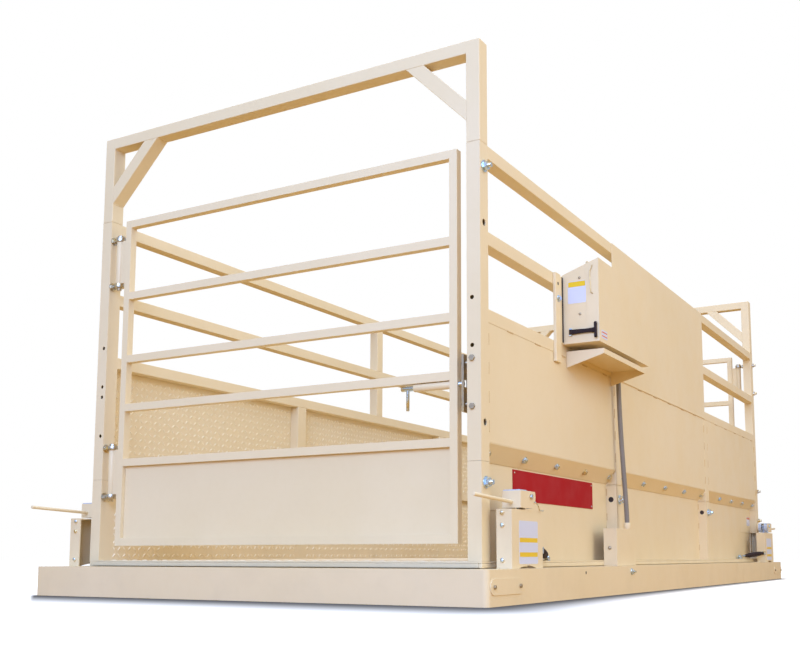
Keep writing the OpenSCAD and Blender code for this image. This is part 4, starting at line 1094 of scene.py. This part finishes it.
@dataclass
class CabinetTrim:
    """Painted gap shadow, blank plates, screws, draw latch, stay and indicator face of the cabinet."""

    near: float = -1.48997
    door: str = "door"
    # painted shadow strip: a dark slab where the gap beside the case lies in shade
    seal_low: Point = (0.9581, -0.0106, 1.052)
    seal_high: Point = (0.9606, -0.0003, 1.332)
    seal_draw: float = 0.0006
    screw_x: float = 1.034
    screw_z: Pair = (1.322, 1.167)
    screw_radius: float = 0.006
    near_plate: BlankPlate = BlankPlate(
        Face.FRONT, (1.0215, near, 1.2625), (0.080, 0.095), 0.004, (0.076, 0.022), (0.034,))
    door_plate: BlankPlate = BlankPlate(
        Face.RIGHT, (0.0, near + 0.060, 1.080), (0.069, 0.036), 0.003, (0.063, 0.005), (-0.008, 0.008))
    latch: Pair = (0.9942, 1.092)
    latch_clear: float = 0.0074
    latch_smooth: float = 50.0
    tee_x: float = 1.1045
    tee_clear: float = 0.0035
    pin: Pairs = ((0.0062, 0.0), (0.0072, 0.001), (0.0072, 0.021), (0.0062, 0.022))
    strap: Points = (
        (0.0, 0.0105, 0.0034), (0.25, 0.0100, 0.0030), (0.6, 0.0085, 0.0030), (0.85, 0.0095, 0.0034),
        (1.0, 0.0120, 0.0042))
    strap_round: float = 0.8
    strap_steps: int = 3
    tee: Pairs = (
        (0.0, 0.0), (0.0045, 0.0008), (0.0066, 0.004), (0.0066, 0.012), (0.0058, 0.024), (0.0064, 0.034),
        (0.0058, 0.044), (0.0066, 0.056), (0.0066, 0.064), (0.0045, 0.0672), (0.0, 0.068))
    stay_half: float = 0.0025
    stay_wire: float = 0.0024
    stay_smooth: float = 60.0
    stay_steps: int = 5
    stay_bends: Points = (
        (0.0, 0.003, 0.0), (0.0, 0.0, -0.003), (-0.004, 0.0, -0.014), (-0.010, 0.0, -0.030),
        (-0.009, 0.0, -0.070), (-0.006, 0.0, -0.112), (0.003, 0.0, -0.122))
    window_rise: float = 0.030
    bezel: Plate = Plate(Face.RIGHT, (0.260, 0.080), 0.008, 0.003, 0.0015)
    window: Plate = Plate(Face.RIGHT, (0.230, 0.056), 0.004, 0.0012, 0.0005)
    key: Plate = Plate(Face.RIGHT, (0.040, 0.032), 0.006, 0.0024, 0.0012)
    key_count: int = 5
    key_pitch: float = 0.052
    key_drop: float = 0.045

    def seal(self) -> None:
        """Dark strip of painted shadow in the gap between the carrier bar's strip and the case."""
        low, high = ((x, self.near + y, z) for x, y, z in (self.seal_low, self.seal_high))
        Shape().slab(low, high, self.seal_draw, Axis.X).build("case_seal", Paint.BORE)

    def near_face(self) -> None:
        """Blank plate with a yellow band and two screws on the near face."""
        self.near_plate.film().build("cabinet_plate", Paint.LABEL)
        self.near_plate.bands().build("cabinet_band", Paint.YELLOW)
        screws = Shape()
        for z in self.screw_z:
            screws.dome((self.screw_x, self.near, z), -Axis.Y.vector, self.screw_radius)
        screws.build("cabinet_screws", Paint.DULL)

    def door_face(self) -> None:
        """Small blank plate with two thin red lines on the door's lower corner."""
        blank = replace(self.door_plate, middle=(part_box("cabinet_door")[1].x, *self.door_plate.middle[1:]))
        blank.film().build("door_plate", Paint.LABEL, self.door)
        blank.bands().build("door_lines", Paint.ORANGE, self.door)

    def draw_latch(self) -> None:
        """Moulded rubber strap with a swelling round its pin and a rounded cross handle."""
        x0, z = self.latch
        y = self.near - self.latch_clear
        rubber = Shape().turn((x0, y, z - self.pin[-1][1] / 2), Axis.Z.vector, self.pin)
        rings = []
        for share, half_z, half_y in self.strap:
            x = x0 + (self.tee_x - x0) * share
            outline = rounded_outline(2 * half_y, 2 * half_z, self.strap_round * half_y, self.strap_steps)
            rings.append([(x, y + dy, z + dz) for dy, dz in outline])
        rubber.loft(rings)
        rubber.turn((self.tee_x, y - self.tee_clear, z - self.tee[-1][1] / 2), Axis.Z.vector, self.tee)
        made = rubber.build("rubber_draw_latch", Paint.RUBBER, "strap", self.latch_smooth)
        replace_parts(made, "draw_latch")

    def stay(self) -> None:
        """Bent wire stay, hooked into the door's near wall."""
        low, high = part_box("prop_rod")
        x, y, top = (low.x + high.x) / 2, low.y + self.stay_half, high.z - self.stay_half
        path = [(x, high.y, top), *((x + dx, y + dy, top + dz) for dx, dy, dz in self.stay_bends)]
        wire = Shape().sweep(smooth_path(path, self.stay_steps), self.stay_wire)
        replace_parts(wire.build("door_stay_wire", Paint.BRASS, "stay", self.stay_smooth), "prop_rod")

    def indicator(self) -> None:
        """Bezel, display window and keys on the indicator in the case."""
        low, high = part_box("weight_indicator")
        x, mid_y, mid_z = high.x, (low.y + high.y) / 2, (low.z + high.z) / 2
        level = mid_z + self.window_rise
        self.bezel.add(Shape(), (x, mid_y, level)).build("indicator_bezel", Paint.RUBBER)
        self.window.add(Shape(), (x + self.bezel.depth, mid_y, level)).build("indicator_window", Paint.GLASS)
        keys = Shape()
        for k in range(self.key_count):
            y = mid_y + (k - self.key_count // 2) * self.key_pitch
            self.key.add(keys, (x, y, mid_z - self.key_drop))
        keys.build("indicator_keys", Paint.KEYS)

    def build(self) -> None:
        """Add every piece."""
        self.seal()
        self.near_face()
        self.door_face()
        self.draw_latch()
        self.stay()
        self.indicator()


@dataclass
class LockStandTrim:
    """Plates, bolt tops and wire clip of one lock stand, drawn at the front right corner from its end face."""

    corner: Corner
    blank: BlankPlate = BlankPlate(
        Face.RIGHT, (1.043, 0.141, 0.213), (0.161, 0.152), 0.006, (0.15456, 0.016), (0.008, -0.043))
    pivot: Pair = (0.150, 0.376)
    middle: float = 1.0135
    roof_step: Pair = (-0.0575, 0.019)
    roof: Plate = Plate(Face.TOP, (0.066, 0.060), 0.003, 0.0035, 0.001)
    flaps: Pairs = ((-0.0308, -0.0093), (0.0093, 0.0308))
    flap_skin: Pair = (0.0008, 0.0012)
    flap_line: Pairs = (
        (-0.027, 0.0192), (0.016, 0.0190), (0.028, 0.0160), (0.038, 0.006), (0.0425, -0.008), (0.040, -0.022),
        (0.034, -0.030), (0.0265, -0.037), (0.018, -0.0418))
    lug_step: Pair = (0.0111, -0.021)
    lug_plate: Plate = Plate(Face.REAR, (0.0150, 0.050), 0.001, 0.0006)
    bolt_tops: Turned = Turned(
        (0, -1, 0), tuple((1.0076, -0.0059, z) for z in (0.151, 0.272, 0.315)),
        ((0.0072, 0.0), (0.0072, 0.0008), (0.0062, 0.0021), (0.0034, 0.0032), (0.0, 0.0035)), 20)
    clip_wire: float = 0.0018
    clip_steps: int = 6
    clip_sides: int = 8
    clip_step: Pair = (0.028, -0.018)
    clip_bends: Points = (
        (0.972, 0.0, 0.0), (1.049, 0.0, 0.0), (1.0535, 0.006, -0.003), (1.0535, 0.026, -0.011),
        (1.0530, 0.038, -0.026), (1.0530, 0.050, -0.029), (1.0530, 0.076, -0.029))

    def put(self, shape: Shape, name: str, paint: Paint, on_lever: bool = False) -> None:
        """Carry a shape to this stand and build it.

        Args:
            shape: Shape at the front right corner.
            name: Name of the piece, without the stand's.
            paint: Its finish.
            on_lever: True where it moves with the lock lever.
        """
        side, front = self.corner.value
        word = self.corner.name.lower()
        flip = Matrix.Diagonal((side, -1.0 if front > 0 else 1.0, 1.0, 1.0))
        shape.copies([Matrix.Translation((0.0, front, 0.0)) @ flip])
        shape.build(f"{word}_{name}", paint, f"lever_{word}" if on_lever else ROOT)

    def head_plate(self) -> None:
        """Pale plate on the lever head's roof, bent down at its rear on both sides of the pivot lug, and on the lug."""
        y, z = self.pivot
        film = self.roof.add(Shape(), (self.middle, y + self.roof_step[0], z + self.roof_step[1]))
        for low, high in self.flaps:
            x0, x1 = self.middle + low, self.middle + high
            rings = []
            for dy, dz in self.flap_line:
                foot = (y + dy, z + dz)
                top = (foot[0] + self.flap_skin[0], foot[1] + self.flap_skin[1])
                rings.append([(x0, *foot), (x1, *foot), (x1, *top), (x0, *top)])
            film.loft(rings)
        self.put(film, "head_plate", Paint.PALE_BLUE, True)
        lug = (self.middle, y + self.lug_step[0], z + self.lug_step[1])
        self.put(self.lug_plate.add(Shape(), lug), "lug_plate", Paint.PALE_BLUE)

    def clip(self) -> None:
        """Bent wire clip through the lever head's rear cheeks."""
        y, z = self.pivot[0] + self.clip_step[0], self.pivot[1] + self.clip_step[1]
        path = smooth_path([(x, y + dy, z + dz) for x, dy, dz in self.clip_bends], self.clip_steps)
        self.put(Shape().sweep(path, self.clip_wire, self.clip_sides), "lever_clip", Paint.ZINC, True)

    def build(self) -> None:
        """Add every piece of this stand."""
        self.put(self.blank.film(), "stand_plate", Paint.LABEL)
        self.put(self.blank.bands(), "stand_bands", Paint.YELLOW)
        self.put(self.bolt_tops.add(Shape()), "stand_bolts", Paint.ZINC)
        self.head_plate()
        self.clip()


@dataclass
class ConduitHose:
    """Flexible conduit between the cabinet's gland and the wiring cover's gland."""

    radius: float = 0.011
    top: Point = (0.9852, -0.88197, 1.029)
    low: Point = (0.9991, -0.84297, 0.304)
    shares: Pair = (0.45, 0.2)
    steps: int = 36
    sides: int = 24

    def route(self) -> list[Vector]:
        """Points along the conduit's middle.

        Returns:
            The points, from the top down.
        """
        a, d = Vector(self.top), Vector(self.low)
        fall = Vector((0.0, 0.0, a.z - d.z))
        b, c = a - self.shares[0] * fall, d + self.shares[1] * fall
        made = []
        for t in (k / self.steps for k in range(self.steps + 1)):
            made.append((1 - t) ** 3 * a + 3 * t * (1 - t) ** 2 * b + 3 * t * t * (1 - t) * c + t ** 3 * d)
        return made

    def build(self) -> None:
        path = self.route()
        made = Shape().sweep(path, self.radius, self.sides).build("conduit_hose", Paint.CONDUIT)
        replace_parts(made, "conduit")
        length = sum((b - a).length for a, b in zip(path, path[1:]))
        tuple(self.top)
        [tuple(p) for p in path]
        log.info("conduit length %.3f m", length)


@dataclass(frozen=True)
class SoftBox:
    """Rectangular soft light."""

    name: str
    place: Point
    aim: Point
    size: Pair
    power: float
    tint: Colour = (1.0, 1.0, 1.0)

    def build(self) -> None:
        """Make the light."""
        data = bpy.data.lights.new(self.name, "AREA")
        data.shape = "RECTANGLE"
        data.size, data.size_y = self.size
        data.energy = self.power
        data.color = self.tint
        made = put_in_scene(self.name, data)
        made.location = self.place
        made.rotation_euler = (Vector(self.aim) - Vector(self.place)).to_track_quat("-Z", "Y").to_euler()


@dataclass
class Studio:
    """Floor, light and camera."""

    lens: float = 45.55
    sensor: float = 36.0
    centre_px: Pair = (434.78, 431.61)
    place: Point = (2.5287, -5.3883, 0.1654)
    yaw: float = 29.32
    pitch: float = 7.0
    sight: float = 200.0
    floor_half: float = 30.0
    floor_level: float = -0.0005
    floor_seen: Colour = (0.90, 0.90, 0.90)
    floor_glow: float = 0.56
    floor_thrown: Colour = (0.53, 0.305, 0.09)
    base_half: Pair = (1.067, 2.4385)
    shade_reach: float = 0.72
    shade_share: float = 0.09
    shade_steep: float = 8.0
    shade_right: Pair = (0.9, 3.7)
    shade_left: float = 2.0
    shade_corner: float = 2.4
    sky: float = 0.55
    sky_tint: Colour = (0.97, 1.0, 1.09)
    white: Colour = (1.0, 1.0, 1.0)
    lamps: tuple[SoftBox, ...] = (
        SoftBox("front_soft_box", (2.2, -9.0, 3.6), (0.2, -1.5, 0.9), (6.0, 4.0), 400.0, (0.60, 0.92, 1.72)),
        SoftBox("side_soft_box", (8.2, -1.6, 4.2), (0.5, 0.4, 0.8), (5.0, 6.0), 268.0, (0.98, 0.97, 0.88)),
        SoftBox("top_soft_box", (0.0, 0.0, 8.0), (0.0, 0.0, 0.5), (7.0, 9.0), 350.0))

    def camera(self) -> None:
        """Camera at the photograph's viewing angle."""
        data = bpy.data.cameras.new("photo_camera")
        data.lens = self.lens
        data.sensor_width = self.sensor
        data.sensor_fit = "HORIZONTAL"
        wide, high = IMAGE_SIZE
        data.shift_x = (wide / 2 - self.centre_px[0]) / wide
        data.shift_y = (self.centre_px[1] - high / 2) / wide
        data.clip_end = self.sight
        made = put_in_scene("photo_camera", data)
        made.location = self.place
        made.rotation_euler = (math.radians(90.0 + self.pitch), 0.0, math.radians(self.yaw))
        bpy.context.scene.camera = made

    def clear_of_base(self, work: NodeWork) -> Socket:
        """Painted shade on the floor: share of its shown colour and glow, low at the base and full away from it,
        soonest at the far ends.

        Args:
            work: The floor's material.

        Returns:
            The share's socket.
        """
        half_x, half_y = self.base_half
        steep, beside = self.shade_steep, self.shade_left * self.shade_steep
        place = work.node("SeparateXYZ", {0: work.node("NewGeometry").outputs["Position"]}).outputs
        x, y = place["X"], place["Y"]
        right = work.math("MULTIPLY", work.math("SUBTRACT", x, half_x),
                          work.math("MULTIPLY_ADD", y, *self.shade_right))
        front = work.math("MAXIMUM", work.math("MULTIPLY_ADD", y, -1.0, -half_y), 0.0)
        left = work.math("MULTIPLY_ADD", front, self.shade_corner * steep,
                         work.math("MULTIPLY_ADD", x, -beside, -beside * half_x))
        rear = work.math("MULTIPLY_ADD", y, steep, -steep * half_y)
        off_x = work.math("MAXIMUM", work.math("MAXIMUM", right, left), 0.0)
        off_y = work.math("MAXIMUM", work.math("MAXIMUM", front, rear), 0.0)
        far = work.math("SQRT", work.math("MULTIPLY_ADD", off_x, off_x, work.math("MULTIPLY", off_y, off_y)))
        return work.ramp(far, 0.0, self.shade_reach, self.shade_share)

    def floor(self) -> None:
        """Plain pale floor that throws back a warm, weaker light than it shows, with a soft painted shade close to the
        base.
        """
        half, level = self.floor_half, self.floor_level
        mesh = bpy.data.meshes.new("pale_floor")
        mesh.from_pydata([(x * half, y * half, level) for x, y in ((-1, -1), (1, -1), (1, 1), (-1, 1))], [],
                         [(0, 1, 2, 3)])
        work = MaterialWork("pale_floor")
        nodes = work.tree.nodes
        nodes.remove(nodes["Principled BSDF"])
        # painted contact shadow: the floor's shown colour and glow drop to a share close to the base
        share = self.clear_of_base(work)
        shade = work.node("VectorMath", {"Scale": share}, operation="SCALE")
        shade.inputs[0].default_value = self.floor_seen
        seen = work.node("BsdfDiffuse", {"Color": shade.outputs["Vector"]})
        glow = work.node("Emission", {"Strength": work.math("MULTIPLY", share, self.floor_glow)})
        shown = work.node("AddShader", {0: seen.outputs[0], 1: glow.outputs[0]})
        thrown = work.node("BsdfDiffuse", {"Color": self.floor_thrown})
        work.split(thrown.outputs[0], shown.outputs[0], nodes["Material Output"].inputs["Surface"])
        mesh.materials.append(work.material)
        put_in_scene("pale_floor", mesh)

    def light(self) -> None:
        """Bright surroundings, a cool soft front light, a side light and a top light."""
        world = bpy.data.worlds.new("white_room")
        world.use_nodes = True
        work, nodes = NodeWork(world.node_tree), world.node_tree.nodes
        back = nodes["Background"]
        work.feed(back.inputs["Color"], self.sky_tint)
        work.feed(back.inputs["Strength"], self.sky)
        shown = work.node("Background", {"Color": self.white})
        work.split(back.outputs[0], shown.outputs[0], nodes["World Output"].inputs["Surface"])
        bpy.context.scene.world = world
        bpy.context.scene.view_settings.view_transform = "Standard"
        for lamp in self.lamps:
            lamp.build()

    def build(self) -> None:
        """Make camera, floor and light."""
        self.camera()
        self.floor()
        self.light()


def main() -> None:
    """Build the looks piece by piece."""
    logging.basicConfig(level=logging.INFO, format="%(name)s: %(message)s")
    for made in list(bpy.data.objects):
        bpy.data.objects.remove(made, do_unlink=True)
    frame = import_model()
    Studio().build()
    ConduitHose().build()
    FrameDressing().dress(frame)
    TreadPlate().build()
    WeldWork().build()
    SideTrim().build()
    CabinetTrim().build()
    for corner in Corner:
        LockStandTrim(corner).build()


if __name__ == "__main__":
    main()
